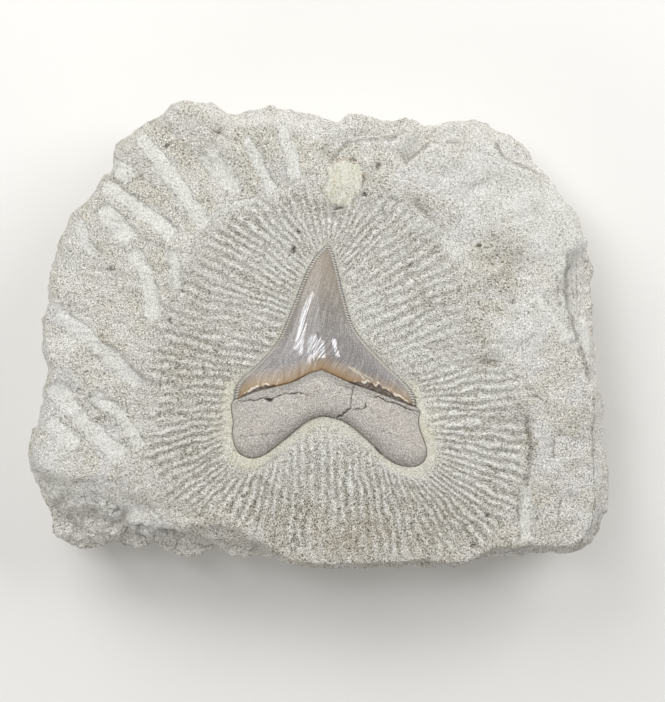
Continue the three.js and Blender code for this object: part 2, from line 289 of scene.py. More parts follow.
toothShape = {  # about the peak of the line where the enamel ends
    "leftEdge": [
        (1.8, 40.5), (-0.6, 38), (-2.8, 35.4), (-4.7, 32), (-6.6, 27.5), (-9.9, 18.8), (-13.4, 10.6),
        (-16.2, 6.4), (-21.8, 0.5), (-25.1, -2.3), (-27.3, -5.4), (-28.1, -9.8),
    ],
    "rightEdge": [
        (1.8, 40.5), (3.4, 37.6), (4.3, 34.6), (6.1, 26.6), (8.6, 17.2), (10.6, 12.6), (13.8, 8.4),
        (21, 0.9), (25.1, -2.9), (28.1, -6.3), (29.6, -9.4), (29.9, -12),
    ],
    "enamelLine": [
        (-28.1, -9.8), (-21, -6.8), (-10, -4.2), (-3.6, -1), (0, 0), (4, -1.9), (9.5, -4.4),
        (16.5, -6.8), (29.9, -12),
    ],
    "leftRootSide": [
        (-28.1, -9.8), (-29, -11.2), (-28.9, -14.4), (-28.4, -17.2), (-28.8, -20.4), (-28.2, -23.8),
        (-27, -26.4),
    ],
    "rightRootSide": [
        (29.9, -12), (31.3, -13.4), (30.9, -16.6), (31.5, -19.7), (32.8, -23), (33.6, -26.6),
        (32.8, -29.2),
    ],
    "rootBase": [
        (-27, -26.4), (-25, -27.8), (-22.4, -28.4), (-19.8, -27.9), (-16.4, -25.9), (-9.9, -20.6),
        (-5.8, -17.2), (-2.6, -15.5), (0.6, -14.9), (3.9, -15.5), (7.8, -17), (12.4, -20.6),
        (17.7, -25.5), (20.6, -28.4), (24, -30.3), (27.8, -31.2), (30.8, -30.7), (32.8, -29.2),
    ],
    "tipShare": 0.008,  # how far down the edges the blunt tip begins
    "serratedShare": (0.015, 0.985),  # of each cutting edge, from the tip
    "crownRise": 3.4,  # from the stone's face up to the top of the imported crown
    "crownRim": (0.3, -0.6),  # heights of the cutting edges' front and back about the stone's face
    "crownFront": (0.6, 2.75),  # how much higher the middle of the front is, at the tip and the base
    "crownBack": (1, 6.5),  # how much lower the middle of the back is, at the tip and the base
    "rootRim": (-0.6, -3),
    "rootFront": (0.4, 3.4),  # at the root's base and at the enamel
    "rootBack": (2.4, 7.6),
    "grainLengths": (60, 42),  # across the crown and down it, of the enamel's streaks
    "crownRows": 205,
    "rootRows": 88,
    "columns": 216,
    "backRings": 12,
}

enamelEnds = {  # where the enamel meets the root
    "lip": 0.34,  # height of the enamel's broken end over the root
    "chipDepth": 0.42,
    "edgeThinning": 0.45,  # of the cutting edges
    "chips": [  # [share across, width in millimetres] of the strip where enamel has broken away
        (0.02, 0.1), (0.06, 0.5), (0.11, 0.9), (0.17, 0.95), (0.215, 0.5), (0.23, 0.08), (0.5, 0.02),
        (0.625, 0.05), (0.66, 0.7), (0.7, 1.3), (0.76, 2.0), (0.83, 1.9), (0.88, 1.2), (0.94, 0.7),
        (0.99, 0.2),
    ],
}

cracks = [  # [places, half width, depth]
    ([(-26.8, -9.9), (-22, -9.6), (-18.5, -9), (-16.7, -9.6), (-14.5, -8.6), (-12.1, -7.7), (-8.7, -7.5),
      (-3.9, -7.8)], 0.17, 0.34),
    ([(-17.9, -9.2), (-16.7, -9.65), (-15.8, -9.5)], 0.36, 0.6),
    ([(10.3, -4.8), (9.5, -7.5), (9.2, -10.2), (8.7, -12)], 0.16, 0.27),
    ([(8.9, -11.5), (8.4, -12.4), (6.8, -13.9), (4.7, -15.6)], 0.24, 0.45),
    ([(14.5, -10.4), (13.2, -12.3), (11.8, -12.6), (10, -12.9)], 0.18, 0.32),
    ([(16.4, -8.8), (17.7, -8.5), (20.7, -10.2), (23.9, -10.7), (27.1, -12.5), (31.1, -13.6)], 0.2, 0.38),
    ([(3.6, -4.3), (6.8, -5.1), (9.5, -6.2)], 0.13, 0.17),
    ([(-26.8, -21.3), (-19.3, -20.8), (-11.3, -19.7)], 0.15, 0.16),
    ([(17.2, -18.6), (20.7, -20.3), (24.9, -21.3)], 0.14, 0.14),
    ([(13.9, -3.4), (14.6, -3.9)], 0.3, 0.4),
]

paleStreaks = [  # [places, half width] of pale scars in the enamel
    ([(-15.1, -5.9), (-14.6, -4.4), (-13.7, -3.2)], 0.12),
    ([(8.4, 0.9), (12.1, -1.6), (14.5, -3.7)], 0.2),
    ([(9.6, 0.6), (13.0, -1.4), (16.2, -3.4)], 0.12),
    ([(16.5, -6.2), (21, -5.6), (26, -9.2)], 0.14),
]

leftEdge, rightEdge, enamelLine, leftRootSide, rightRootSide, rootBase = (
    smoothCurve(toothShape[name])
    for name in ("leftEdge", "rightEdge", "enamelLine", "leftRootSide", "rightRootSide", "rootBase")
)


def crownPlace(u, v):
    # a place on the crown, u across from the left edge and v down from the tip
    across = blend(leftEdge(v), rightEdge(v), u[..., None])
    straight = blend(leftEdge(1), rightEdge(1), u[..., None])
    return across + (enamelLine(u) - straight) * v[..., None] ** 1.5


def rootPlace(u, v):
    # a place on the root, u across and v down from the enamel line
    across, along = u[..., None], v[..., None]
    sides = blend(leftRootSide(v), rightRootSide(v), across)
    top, base = (blend(leftRootSide(end), rightRootSide(end), across) for end in (0, 1))
    return blend(enamelLine(u), rootBase(u), along) + sides - blend(top, base, along)


def toothPlace(u, s):
    # s runs from 0 at the tip through 1 at the enamel line to 2 at the root's base
    crown = crownPlace(u, np.clip(s, 0, 1))
    root = rootPlace(u, np.clip(s - 1, 0, 1))
    return np.where((s < 1)[..., None], crown, root)


def swelling(u, boxy):
    return np.clip(1 - np.abs(2 * u - 1) ** boxy, 0, 1) ** 0.6


def toothHeights(u, s):
    # heights of the front and the back about the stone's face
    shape = toothShape
    (crownRim, crownEdge), (rootRim, rootEdge) = shape["crownRim"], shape["rootRim"]
    v, w = np.clip(s, 0, 1), np.clip(s - 1, 0, 1)
    crownSwell = swelling(u, 2 + 3 * v**4)
    crownFront = crownRim + blend(*shape["crownFront"], v) * crownSwell
    crownBack = crownEdge - blend(*shape["crownBack"], v) * crownSwell
    body, shoulder, rootSwell = np.sqrt(1 - w**4), soft(w, 0, 0.2), swelling(u, 5)
    rootFront = blend(crownRim, rootRim, shoulder) + blend(*shape["rootFront"], body) * rootSwell
    rootBack = blend(crownEdge, rootEdge, shoulder) - blend(*shape["rootBack"], body) * rootSwell
    root = s > 1
    return np.where(root, rootFront, crownFront), np.where(root, rootBack, crownBack)


def perimeter():
    # the tooth's outline as u and s, anticlockwise: the blunt tip, left side, base, right side
    rows = toothRows()
    columns = np.linspace(0, 1, toothShape["columns"])
    top = np.stack([columns[:0:-1], np.full(len(columns) - 1, rows[0])])
    left = np.stack([np.zeros(len(rows) - 1), rows[:-1]])
    base = np.stack([columns[:-1], np.full(len(columns) - 1, rows[-1])])
    right = np.stack([np.ones(len(rows) - 1), rows[:0:-1]])
    return np.hstack([top, left, base, right])


def toothRows():
    crown = np.linspace(toothShape["tipShare"], 1, toothShape["crownRows"])
    root = np.linspace(1, 2, toothShape["rootRows"] + 1)[1:]
    return np.concatenate([crown, root])


toothLow, toothHigh = (np.array(corner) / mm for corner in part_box("shark_tooth"))
slabHigh = np.array(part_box("stone_slab")[1]) / mm
outlineU, outlineS = perimeter()
outlinePlaces = toothPlace(outlineU, outlineS)
toothOrigin = toothLow[:2] - outlinePlaces.min(axis=0)
faceHeight = toothHigh[2] - toothShape["crownRise"]  # of the stone's worked face

crownFolds = [  # [x at its foot, lean, how wide, how high, top, foot] of low folds in the crown's base
    (1.7, 0.0, 2.0, 0.3, 10.8, 3.0), (-1.2, 0.0, 1.4, 0.12, 10.5, 3.0), (6.1, -0.2, 1.3, 0.34, 11.5, 3.0),
]
foldSpread = 2.2  # how much wider the right flank of a fold is than its left

polished = [  # [places, half width] of the streaks where the enamel still has its polish
    ([(-3.3, 24), (-4.7, 21), (-6, 17), (-7.2, 12), (-8.3, 7)], 1.0),
    ([(-5.4, 14.5), (-6.4, 9.5), (-6.8, 5)], 0.7),
    ([(-2.0, 8.4), (-1.8, 2.8)], 3.4),
    ([(3.2, 9.8), (5.5, 3.8)], 2.2),
]


def crownDetail(x, y, v):
    # low folds above the crown's base, and a faint wave of the enamel
    height = 0.024 * lumps(np.stack([x / 1.2, y / 9], -1), 1, 3) * soft(v, 0.15, 0.5)
    for middle, lean, wide, high, top, foot in crownFolds:
        across = (x - middle - lean * (y - foot)) / wide
        across /= np.where(across > 0, foldSpread, 1)
        height += high * np.exp(-across**2) * soft(y, foot - 1.5, foot + 1) * soft(-y, -top - 2, -top + 2)
    return height


def enamelChips(places, u, below):
    # how much of the enamel's end has chipped off, and how crumbled the rim over each chip is
    grain = np.stack([u * toothShape["grainLengths"][0], u * 0], -1)
    widths = np.interp(u, *np.array(enamelEnds["chips"]).T) * (1 + 0.35 * lumps(grain, 1.3, 5))
    chipped = soft(below, -widths - 0.1, -widths + 0.15) * (1 - soft(below, 0.1, 0.35))
    rim = soft(widths, 0.3, 0.6) * np.exp(-(((below + widths + 0.35) / 0.42) ** 2))
    return chipped * soft(widths, 0.12, 0.4), rim * soft(0.8 + lumps(places, 2.2, 15), 0.3, 0.9)


def cutCracks(places):
    # how deep the cracks are, and how much painted shade darkens them
    wander = wavering(places, 0.4, 1.3, 11)
    depths, dark = np.zeros(places.shape[:-1]), np.zeros(places.shape[:-1])
    for line, half, deep in cracks:
        distance, along, _, length = fromLine(wander, line)
        ends = soft(along, 0, 0.8) * soft(length - along, 0, 0.8) * 0.6 + 0.4
        cut = (1 - soft(distance, 0.35 * half, 1.5 * half)) * ends
        depths += deep * cut
        dark = np.maximum(dark, cut * min(1, deep / 0.3))
    return depths, dark


def nearLines(places, lines, solid, reach):
    # 1 as far from the lines as solid half widths, and 0 from reach half widths on
    near = [1 - soft(fromLine(places, line)[0], solid * half, reach * half) for line, half in lines]
    return np.maximum.reduce(near)


def toothFront(u, s):
    # the front's places, heights and tones, with its cracks and its broken enamel
    places = toothPlace(u, s)
    front, _ = toothHeights(u, s)
    x, y = places[..., 0], places[..., 1]
    v, root = np.clip(s, 0, 1), s > 1
    below, _, side, _ = fromLine(places, toothShape["enamelLine"])
    below *= -side  # how far below the enamel line, in millimetres
    edge = np.minimum(*(fromLine(places, toothShape[name])[0] for name in ("leftEdge", "rightEdge")))
    chipped, brokenRim = enamelChips(places, u, below)
    crackDepths, crackShade = cutCracks(places)

    bulge = np.where(root, 0, crownDetail(x, y, v) * soft(edge, 0.5, 2.5))
    ending = soft(below, -0.35, 0.12) * soft(u, 0, 0.02) * soft(1 - u, 0, 0.02)
    height = front + bulge - enamelEnds["lip"] * ending * (1 - 0.8 * soft(below, 1, 6))
    height -= enamelEnds["chipDepth"] * chipped * (1 + 0.5 * lumps(places, 0.9, 7))
    height -= enamelEnds["edgeThinning"] * (1 - soft(edge, 0, 0.55)) * ~root
    pitted = 0.05 * lumps(places, 0.7, 21) + 0.07 * lumps(places, 2.4, 22) + 0.12 * lumps(places, 6, 23)
    height += np.where(root, pitted, 0) - crackDepths

    grainAcross, grainDown = toothShape["grainLengths"]
    begun, ended = toothShape["serratedShare"]
    tones = {
        "acrossTooth": (u * grainAcross) * (0.25 + 0.75 * v),
        "downTooth": s * grainDown,
        "belowEnamel": below,
        "cuspPhase": (v - begun) / (ended - begun) * (serrations["Cusps"] - 1),
        "fromEdge": edge,
        "crackShade": crackShade,
        "paleStreak": nearLines(wavering(places, 0.3, 1.1, 13), paleStreaks, 0.3, 2),
        "chipTone": chipped,
        "brokenRim": brokenRim,
        "rootTone": root * soft(below, 0, 0.1),
        "baseShadeAndStain": soft(s, 1.7, 2.0),
        "tipTone": soft(y, 14, 34),
        "polishTone": nearLines(places, polished, 0.6, 1) * soft(-below, 2.4, 3.6),
        "sideTone": soft(-x, 4, 22) * soft(y, -12, -6),
    }
    return places, height, tones


def toothBack():
    # the back: rings of the outline that shrink to one place in the middle of the enamel line
    shares = np.linspace(0, 1, toothShape["backRings"] + 1)[:-1]
    shrink = 1 - shares[:, None] ** 1.2
    u = np.append(0.5 + (outlineU - 0.5) * shrink, 0.5)
    s = np.append(1 + (outlineS - 1) * shrink, 1)
    places = toothPlace(u, s)
    inwards = np.append(1 - np.repeat(shrink, len(outlineU), 1), 1)
    height = toothHeights(u, s)[1] + 0.15 * lumps(places, 3, 25) * soft(inwards, 0, 0.2)
    grainAcross, grainDown = toothShape["grainLengths"]
    tones = {
        "acrossTooth": u * grainAcross,
        "downTooth": s * grainDown,
        "belowEnamel": 25 * (s - 1),
        "fromEdge": 30 * inwards,
        "rootTone": np.where(s > 1.0001, 1.0, 0.0),
        "baseShadeAndStain": soft(s, 1.7, 2.0),
    }
    return places, height, tones


def makeTooth(enamel, root):
    u, s = np.meshgrid(np.linspace(0, 1, toothShape["columns"]), toothRows())
    places, height, tones = toothFront(u, s)
    backPlaces, backHeight, backTones = toothBack()
    numbers = np.arange(u.size).reshape(u.shape)
    rim = np.concatenate([numbers[0, :0:-1], numbers[:-1, 0], numbers[-1, :-1], numbers[:0:-1, -1]])
    backNumbers = u.size + np.arange(len(backHeight) - 1).reshape(-1, len(rim))
    middle, last = u.size + len(backHeight) - 1, backNumbers[-1]
    faces = gridFaces(numbers) + gridFaces(np.vstack([rim, backNumbers]), around=True)
    faces += [(middle, int(b), int(a)) for a, b in zip(last, np.roll(last, -1))]

    flat = np.vstack([places.reshape(-1, 2), backPlaces]) + toothOrigin
    heights = np.concatenate([height.ravel(), backHeight]) + faceHeight
    nothing = np.zeros(len(backHeight))
    tones = {name: np.append(values.ravel(), backTones.get(name, nothing)) for name, values in tones.items()}
    piece = makePiece("tooth", np.column_stack([flat, heights]), faces, tones)
    piece.data.materials.append(enamel)
    piece.data.materials.append(root)
    isRoot = tones["rootTone"] > 0.5
    whose = [int(all(isRoot[i] for i in face.vertices)) for face in piece.data.polygons]
    piece.data.polygons.foreach_set("material_index", whose)
    return piece


serrations = {
    "Cusps": 68,
    "Cusp Length": 0.22 * mm,
    "Cusp Reach": 0.5 * mm,
    "Cusp Height": 0.3 * mm,
    "Tip Share": 0.35,  # size of the cusps nearest the tip
    "Seed": 4,
}
cuspInset = 0.1  # millimetres from the cutting edge in to the middles of the cusps


def serrationTree(settings):
    # small rounded cusps along a curve, each lying across it
    tree, given = newTree("serrationTree", settings)
    curve = put(tree, "GeometryNodeMeshToCurve", {"Mesh": given["Geometry"]})
    curve = put(tree, "GeometryNodeResampleCurve", {"Curve": curve, "Count": given["Cusps"]}, mode="COUNT")
    cusp = put(tree, "GeometryNodeMeshUVSphere", {"Segments": 7, "Rings": 5, "Radius": 1.0})
    tangent = put(tree, "GeometryNodeInputTangent")
    turn = put(tree, "FunctionNodeAlignEulerToVector", {"Vector": tangent}, axis="X")
    fromTip = put(tree, "GeometryNodeSplineParameter")
    grown = ranged(tree, fromTip, 0.0, 0.3, given["Tip Share"], 1.0)
    limits = {"Min": 0.8, "Max": 1.12, "Seed": given["Seed"]}
    uneven = put(tree, "FunctionNodeRandomValue", limits, 1, data_type="FLOAT")
    size = calc(tree, "MULTIPLY", grown, uneven)
    axes = {"X": "Cusp Length", "Y": "Cusp Reach", "Z": "Cusp Height"}
    scale = {axis: calc(tree, "MULTIPLY", size, given[title]) for axis, title in axes.items()}
    scale = put(tree, "ShaderNodeCombineXYZ", scale)
    inputs = {"Points": curve, "Instance": cusp, "Rotation": turn, "Scale": scale}
    endTree(tree, put(tree, "GeometryNodeInstanceOnPoints", inputs), given["Enamel"])
    return tree


def makeSerrations(enamel):
    # the cusps of both cutting edges, along a line just inside each
    steps = 240
    runs = []
    for curve, turn in ((leftEdge, 1), (rightEdge, -1)):
        line = curve(np.linspace(*toothShape["serratedShare"], steps))
        way = np.gradient(line, axis=0)
        inwards = turn * np.column_stack([-way[:, 1], way[:, 0]]) / np.hypot(*way.T)[:, None]
        line += toothOrigin + cuspInset * inwards
        runs.append(np.column_stack([line, np.full(steps, faceHeight + toothShape["crownRim"][0])]))
    edges = [(i, i + 1) for i in range(2 * steps - 1) if i != steps - 1]
    piece = makePiece("serrations", np.vstack(runs), [], {}, edges)
    settings = {**serrations, "Enamel": enamel}
    applyTree(piece, serrationTree(settings), settings)
    return piece


def joinInto(piece, other):
    # adds the cusps' mesh to a piece, under the same first material, its points marked for a painted
    # highlight
    count = len(other.data.vertices)
    other.data.attributes.new("cuspHighlight", "FLOAT", "POINT").data.foreach_set("value", [1.0] * count)
    bm = bmesh.new()
    bm.from_mesh(piece.data)
    bm.from_mesh(other.data)
    bm.to_mesh(piece.data)
    bm.free()
    bpy.data.objects.remove(other)


# The stone: a rough slab with a bed for the tooth and a fan of tool furrows round it.

stoneShape = {
    "furrows": 112,
    "columnsEach": 8,
    "lipRings": 5,
    "fanRings": 42,
    "outerRings": 50,
    "bedRings": 5,
    "backShares": (0.97, 0.6, 0.25),  # sizes of the rings on the flat back
    "mouthGap": 0.1,  # between the root's side and the stone
    "crownGap": 0.12,  # between the crown's cutting edges and the stone
    "bedGap": 0.35,  # between the tooth's back and its bed
    "lipWidths": (0.9, 2.6, 3.8),  # of the smooth stone beside the crown, beside the root and below it
    "sideStep": 0.45,  # a step down the sides counts this much, so that the rings are further apart
    "raySamples": (64, 40, 24),  # along the face, up the side, and down it again
}

stoneRough = {  # roughness in millimetres: [size, height, seed] of lumps, or of scoops with sharp ridges
    "grainy": [(2.6, 0.22, 52), (1.2, 0.16, 53)],
    "rolling": [(7, 0.35, 51)],  # outside the fan
    "hackly": [(11, 1.1, 1), (4.5, 0.5, 2)],  # outside the fan, as scoops
    "topPlanes": [(22, 1.8, 4)],
    "brokenEdges": [(10, 1.3, 3)],
    "crags": [(8, 5.0, 5), (3.8, 2.4, 6)],
    "cragCorner": (-60, -60, 34, 16, -8),  # [x, y, half width, half height, turned by]
    "smoothWall": (92, -10, 14, 40),  # the edge is less rough here
    "edgeReach": 3.0,  # distances to the edges of strokes and of the filler are kept no larger
    "fillerRise": 0.2,
}

furrowShape = {
    "Depth": 0.41 * mm,
    "Wander": 0.34,  # of the ridges to the side, in furrows
    "Wander Length": 7.0 * mm,
    "Break": 0.65,  # how far the crests are broken down in places
    "Break Length": 2.6 * mm,
    "Dent Depth": 0.22 * mm,  # of the marks that each stroke of the tool left in a furrow
    "Dent Spacing": 2.7 * mm,
    "Scoop Depth": 0.8 * mm,  # of the scoops that broke away from the slab's edges
    "Scoop Size": 5.0 * mm,
    "Seed": 3,
}

fanFurrows = [  # [x, y] beside the tooth, then [x, y] of the far end, anticlockwise from the tip
    (2.6, 28.8, 2.2, 44), (-2, 23.4, -18.2, 43.5), (-6.4, 14.1, -36.5, 32.3), (-9.9, 5.1, -45, 14.7),
    (-18.2, -9, -54, -1.3), (-27.2, -19.5, -54, -17.3), (-28.1, -25, -53.4, -27.5),
    (-27.8, -32.3, -55.4, -40.3), (-26.5, -37.8, -49.3, -53), (-23, -40, -33.3, -57),
    (-16.3, -37.8, -24, -61.5), (-8.6, -32, -11.5, -68), (1.6, -26.6, 2, -71), (11.8, -31, 15.7, -71),
    (24.6, -41.6, 38, -71), (29.8, -42.6, 51.5, -68), (33.6, -40.6, 62.7, -57), (34.2, -36.5, 65.6, -43),
    (32, -29.1, 66.6, -31.4), (30.7, -22.7, 64.3, -21.8), (28.5, -17.3, 60.5, -10.2), (22, -10.6, 51, 0.6),
    (14.7, -3.2, 48.3, 12.5), (9.6, 5.4, 43.5, 23), (7, 15, 36.2, 34.9), (5.8, 20.5, 27.5, 42.9),
    (4.5, 25.3, 16.3, 45.1),
]

faintAreas = [  # where the furrows are worn: [x, y, half width, half height, turned by, how strong]
    (30, 22, 17, 15, 0, 0.3), (45, -6, 12, 14, 0, 0.3), (18, 2, 8, 18, 30, 0.35),
    (15, 26, 10, 12, 0, 0.25), (1, -30, 13, 7, 0, 0.7), (-8, 38, 14, 6, 0, 0.3),
    (-40, 22, 10, 8, 0, 0.25), (40, -40, 12, 10, 0, 0.2),
]

scrapes = [  # strokes of a flat chisel: [places, half width, depth, side of the steep wall: left is 1]
    ([(-69.5, 48.5), (-58, 40), (-46.5, 31.5)], 2.5, 0.9, 1),
    ([(-52, 57), (-44, 45.5), (-36.5, 34.5)], 2.6, 0.6, 1),
    ([(-37, 59), (-31.5, 52.5), (-26, 45.5)], 2.8, 0.9, -1),
    ([(-24, 63), (-19, 54), (-15, 46)], 2.0, 0.7, 1),
    ([(-77.5, 37), (-74.5, 30), (-71, 24.5)], 2.0, 0.7, -1),
    ([(-69.5, 41), (-65, 35.5), (-60.5, 30)], 3.0, 0.4, 1),
    ([(-60, 27.5), (-55.5, 20), (-53.6, 13), (-53, 4)], 2.5, 0.8, -1),
    ([(-84.5, 7), (-77, 1), (-69, -5.5), (-57.3, -16)], 2.6, 0.8, 1),
    ([(-72.5, -19), (-64, -25.5), (-56.5, -36.5)], 2.4, 0.7, 1),
    ([(-86, -16), (-75.5, -28.5), (-63.5, -39.5)], 3.0, 0.9, 1),
    ([(66, -48), (66.3, -66)], 2.0, 0.6, -1),
    ([(-12.5, 68), (-9, 57), (-8, 49)], 2.2, 0.35, 1),
    ([(-47, 27), (-45.2, 14)], 1.6, 0.3, 1),
    ([(67.5, 13), (74, 5.5), (81, -2.5)], 2.0, 0.6, 1),
    ([(-36, 36.5), (-27, 41.5), (-19, 43.5)], 1.0, 0.2, 1),
    ([(-58, 63), (-50, 55)], 2.6, 0.5, 1),
    ([(-67, 56), (-59, 50)], 2.4, 0.4, -1),
    ([(-87, -27), (-77.5, -37)], 2.6, 0.6, 1),
]

filler = [  # the edge of a smooth yellow patch above the tip, clockwise
    (2.5, 53.5), (7.8, 55.7), (13.7, 53.5), (14.2, 48.7), (12.6, 44.5), (8.9, 40.7), (4.1, 41.8),
    (1.4, 45.5), (3, 49.8), (2.5, 53.5),
]

chiselRows = {  # fainter strokes of the same chisel, in rows that point at the tooth
    "middle": (1, -6),
    "length": 15,
    "width": 4.4,
    "depth": 0.5,
    "seed": 8,
    "where": [  # [x, y, half width, half height, turned by, how strong]
        (-55, 45, 22, 32, -40, 1.0), (-70, -10, 16, 34, 0, 0.8), (0, 62, 45, 12, 0, 0.7),
        (50, 50, 25, 16, -40, 0.25),
    ],
}

creases = [  # [places, half width, depth, how much lower the left side is, how far that reaches]
    ([(-48, 9), (-44, 14), (-38.1, 26.9), (-36.5, 38.1), (-25.3, 42.9)], 0.9, 0.25, -0.5, 3),
    ([(29, 42.5), (34, 38.5), (38.7, 33.9)], 0.9, 1.1, 0.8, 4),
    ([(3, 54), (6, 58.5), (9.9, 61.8), (16.6, 62.1), (22.1, 62.7), (28.5, 65)], 0.9, 0.9, 3.6, 7),
    ([(25.9, 53.1), (30.4, 57), (35.8, 61.8), (39.7, 61.8), (47, 61)], 0.9, 0.7, 3.2, 7),
    ([(56, 62), (59.2, 56.3), (65.6, 54.1), (72.3, 51.8)], 0.8, 0.6, 2.2, 6),
    ([(88.3, -20), (87.6, -30), (88.5, -45), (88, -59.8), (84.2, -66.2), (82, -68)], 0.6, 0.5, 0, 1),
    ([(70.1, -67.2), (64, -68.5), (57.6, -70.7), (52.2, -72.3)], 0.5, 0.4, 0, 1),
    ([(52.2, -71.5), (54.4, -66.2)], 0.5, 0.5, 0, 1),
    ([(-79, -49), (-71, -45.4), (-65, -47.7), (-60.2, -49.3), (-55.7, -53.4), (-52.2, -57.9), (-48.3, -60.2),
      (-43.8, -61.8), (-38.4, -60.8), (-33, -61.4), (-25.9, -62.4), (-21.4, -65.3), (-15.7, -68.2),
      (-11.2, -71.7)], 0.9, 0.3, 0, 1),
    ([(66.3, -24), (66.8, -31), (68, -37), (67, -44), (65, -51.5), (63.7, -60)], 0.8, 0.9, 0, 1),
    ([(74.9, -32), (74.2, -41)], 0.6, 0.55, 0, 1),
    ([(77.1, -48), (77, -55), (75.8, -63)], 0.5, 0.5, 0, 1),
    ([(72, -48), (70, -56), (67.5, -66)], 0.6, 0.5, 0, 1),
    ([(66.6, -21.1), (69.1, -19.8), (72.3, -22.4)], 0.6, 0.6, 0, 1),
    ([(61, -11.5), (66, -15.5), (71, -19.8)], 0.6, 0.45, 0, 1),
    ([(48.3, -9.6), (55, -8.6), (60.5, -9.4)], 0.7, 0.5, 0, 1),
    ([(-81.9, 11.5), (-79, 6), (-76, 2.5)], 0.6, 0.5, 0.3, 4),
    ([(-35.5, 37), (-31, 39.5), (-26, 42)], 0.9, -0.5, 0, 1),
    ([(-83, -17.5), (-74.9, -19.5), (-66.9, -21.1), (-61, -26.5)], 0.5, 0.4, 0, 1),
    ([(-53, 42), (-49, 36.5), (-46.5, 34)], 0.4, 0.3, 0, 1),
    ([(51.5, 17), (52.6, 14), (53.8, 10.9)], 0.5, 0.4, 0, 1),
    ([(70.7, 14.1), (73, 11), (75.5, 7.7)], 0.6, 0.4, 0, 1),
    ([(57.5, 37.5), (62.7, 34.9)], 0.6, 0.4, 0, 1),
    ([(78.5, 27), (80.3, 18), (80, 9), (82.5, -1), (85, -9), (87, -17)], 1.0, 1.0, 2.0, 6),
    ([(75, 20), (77, 13), (76.5, 7)], 0.8, 0.4, 0, 1),
]

pits = [  # [x, y, half width, half height, depth]
    (-8, 27, 0.9, 1.5, 1.0), (-48, 4.5, 0.7, 1.1, 0.7), (-45.8, -10.6, 0.9, 0.6, 0.6),
    (-49.9, -12.5, 0.6, 0.6, 0.5), (50.9, 28.2, 1.1, 0.9, 0.8),
    (29.1, 21.4, 1.0, 0.5, 0.5), (-48.6, 60.2, 1.2, 0.9, 0.7), (-32.3, 64.3, 1.3, 0.7, 0.8),
    (-32.6, -5.1, 0.6, 0.6, 0.5), (35.5, 9.3, 0.5, 0.5, 0.4), (6.1, 40.3, 1.4, 0.6, 0.8),
    (14.7, 44.5, 1.0, 0.8, 0.8), (13.8, 49.3, 0.5, 1.6, 0.8), (18.9, 54, 0.8, 1.2, 0.8),
    (10.6, 55.7, 1.4, 0.5, 0.7), (61.8, 10.2, 1.3, 0.7, 0.7), (50.9, 43.5, 0.7, 0.6, 0.5),
    (37.4, 25.9, 1.2, 0.5, 0.5), (-6.4, 33, 0.7, 0.6, 0.6), (-11.8, -52.2, 0.6, 0.5, 0.5),
    (-24.3, -51.5, 0.8, 0.6, 0.5), (-7.4, -65.9, 1.2, 0.9, 0.6), (53.4, -58.2, 0.8, 0.6, 0.6),
    (49.3, -67.5, 0.8, 0.7, 0.6), (-76.5, -17.6, 0.7, 0.6, 0.6), (-37.4, 22.4, 0.7, 0.6, 0.5),
    (-66.6, 20.8, 1.4, 0.7, 0.4),
]

stains = {  # soft spots of colour: [x, y, half width, half height, turned by, how strong]
    "brownStainAndShade": [
        (66.8, -37, 1.6, 10, 0, 1), (64, -53, 1.8, 6, 0, 0.5), (52, -4, 4, 8, 0, 0.3),
        (53, -9.2, 6, 1.6, 0, 0.6), (-62, -46, 5, 2, 0, 0.3), (-4, 31, 3, 5, 0, 0.25),
        (-60, 25, 5, 6, 0, 0.2), (70, -20, 4, 1.6, 0, 0.5), (82, -30, 4, 6, 0, 0.25), (15, 52, 4, 6, 0, 0.3),
        # of the last two spots, the wide one is painted shade, darker towards the bottom; the other darkens
        # the fan's left
        (-22, 28, 4, 3, 0, 0.2), (8, -64, 48, 15, 0, 1.1), (-38, -20, 16, 34, 0, 0.5),
    ],
    "greenTone": [
        (57.5, 23, 5.5, 10, 15, 1.3), (51, 5, 4.5, 7, 0, 0.9), (-5, 26, 4, 4, 0, 0.3),
        (-44, -9, 5, 4, 0, 0.35), (-34, 24, 4, 3, 0, 0.3), (-30, -3, 5, 3, 0, 0.25),
    ],
    "yellowTone": [
        (7, 47.5, 4.6, 5.8, -8, 1.0), (36, -28, 3.5, 9, 0, 0.6), (-32, -30, 2.8, 8, 0, 0.5),
        (2, -31, 9, 4, 0, 0.3),
    ],
    "tanTone": [
        (-55, 38, 22, 26, -30, 0.7), (-64, 0, 12, 22, 0, 0.45), (-45, 60, 26, 8, 0, 0.5),
        (-4, 60, 14, 8, 0, 0.3),
    ],
    "fluteTone": [(82, 8, 6, 15, 4, 1.0)],
    "paleAndLitTone": [
        # pale stone, with painted light on the lower-left corner and along the right margin
        (-73, -59, 14, 9, 0, 1.0), (-84, -46, 5, 12, 0, 0.7), (-52, -62, 14, 6, -10, 0.7),
        (66, 40, 20, 16, -45, 0.8), (85, 10, 4, 18, 0, 0.3), (42, 27, 12, 2.6, -40, 0.7),
        (71.7, -35, 1.8, 4, 0, 0.6), (52, -14, 14, 12, 0, 0.4), (80, 14, 9, 20, 0, 0.8),
        (87, 4, 3.5, 22, 4, 0.5), (90, -42, 3, 16, 0, 0.6), (40, 55, 24, 12, -20, 0.5),
        (66, 0, 8, 10, 0, 0.4), (-15, 68, 20, 3, 0, 0.5), (-80, -10, 6, 14, 0, 0.3),
    ],
}


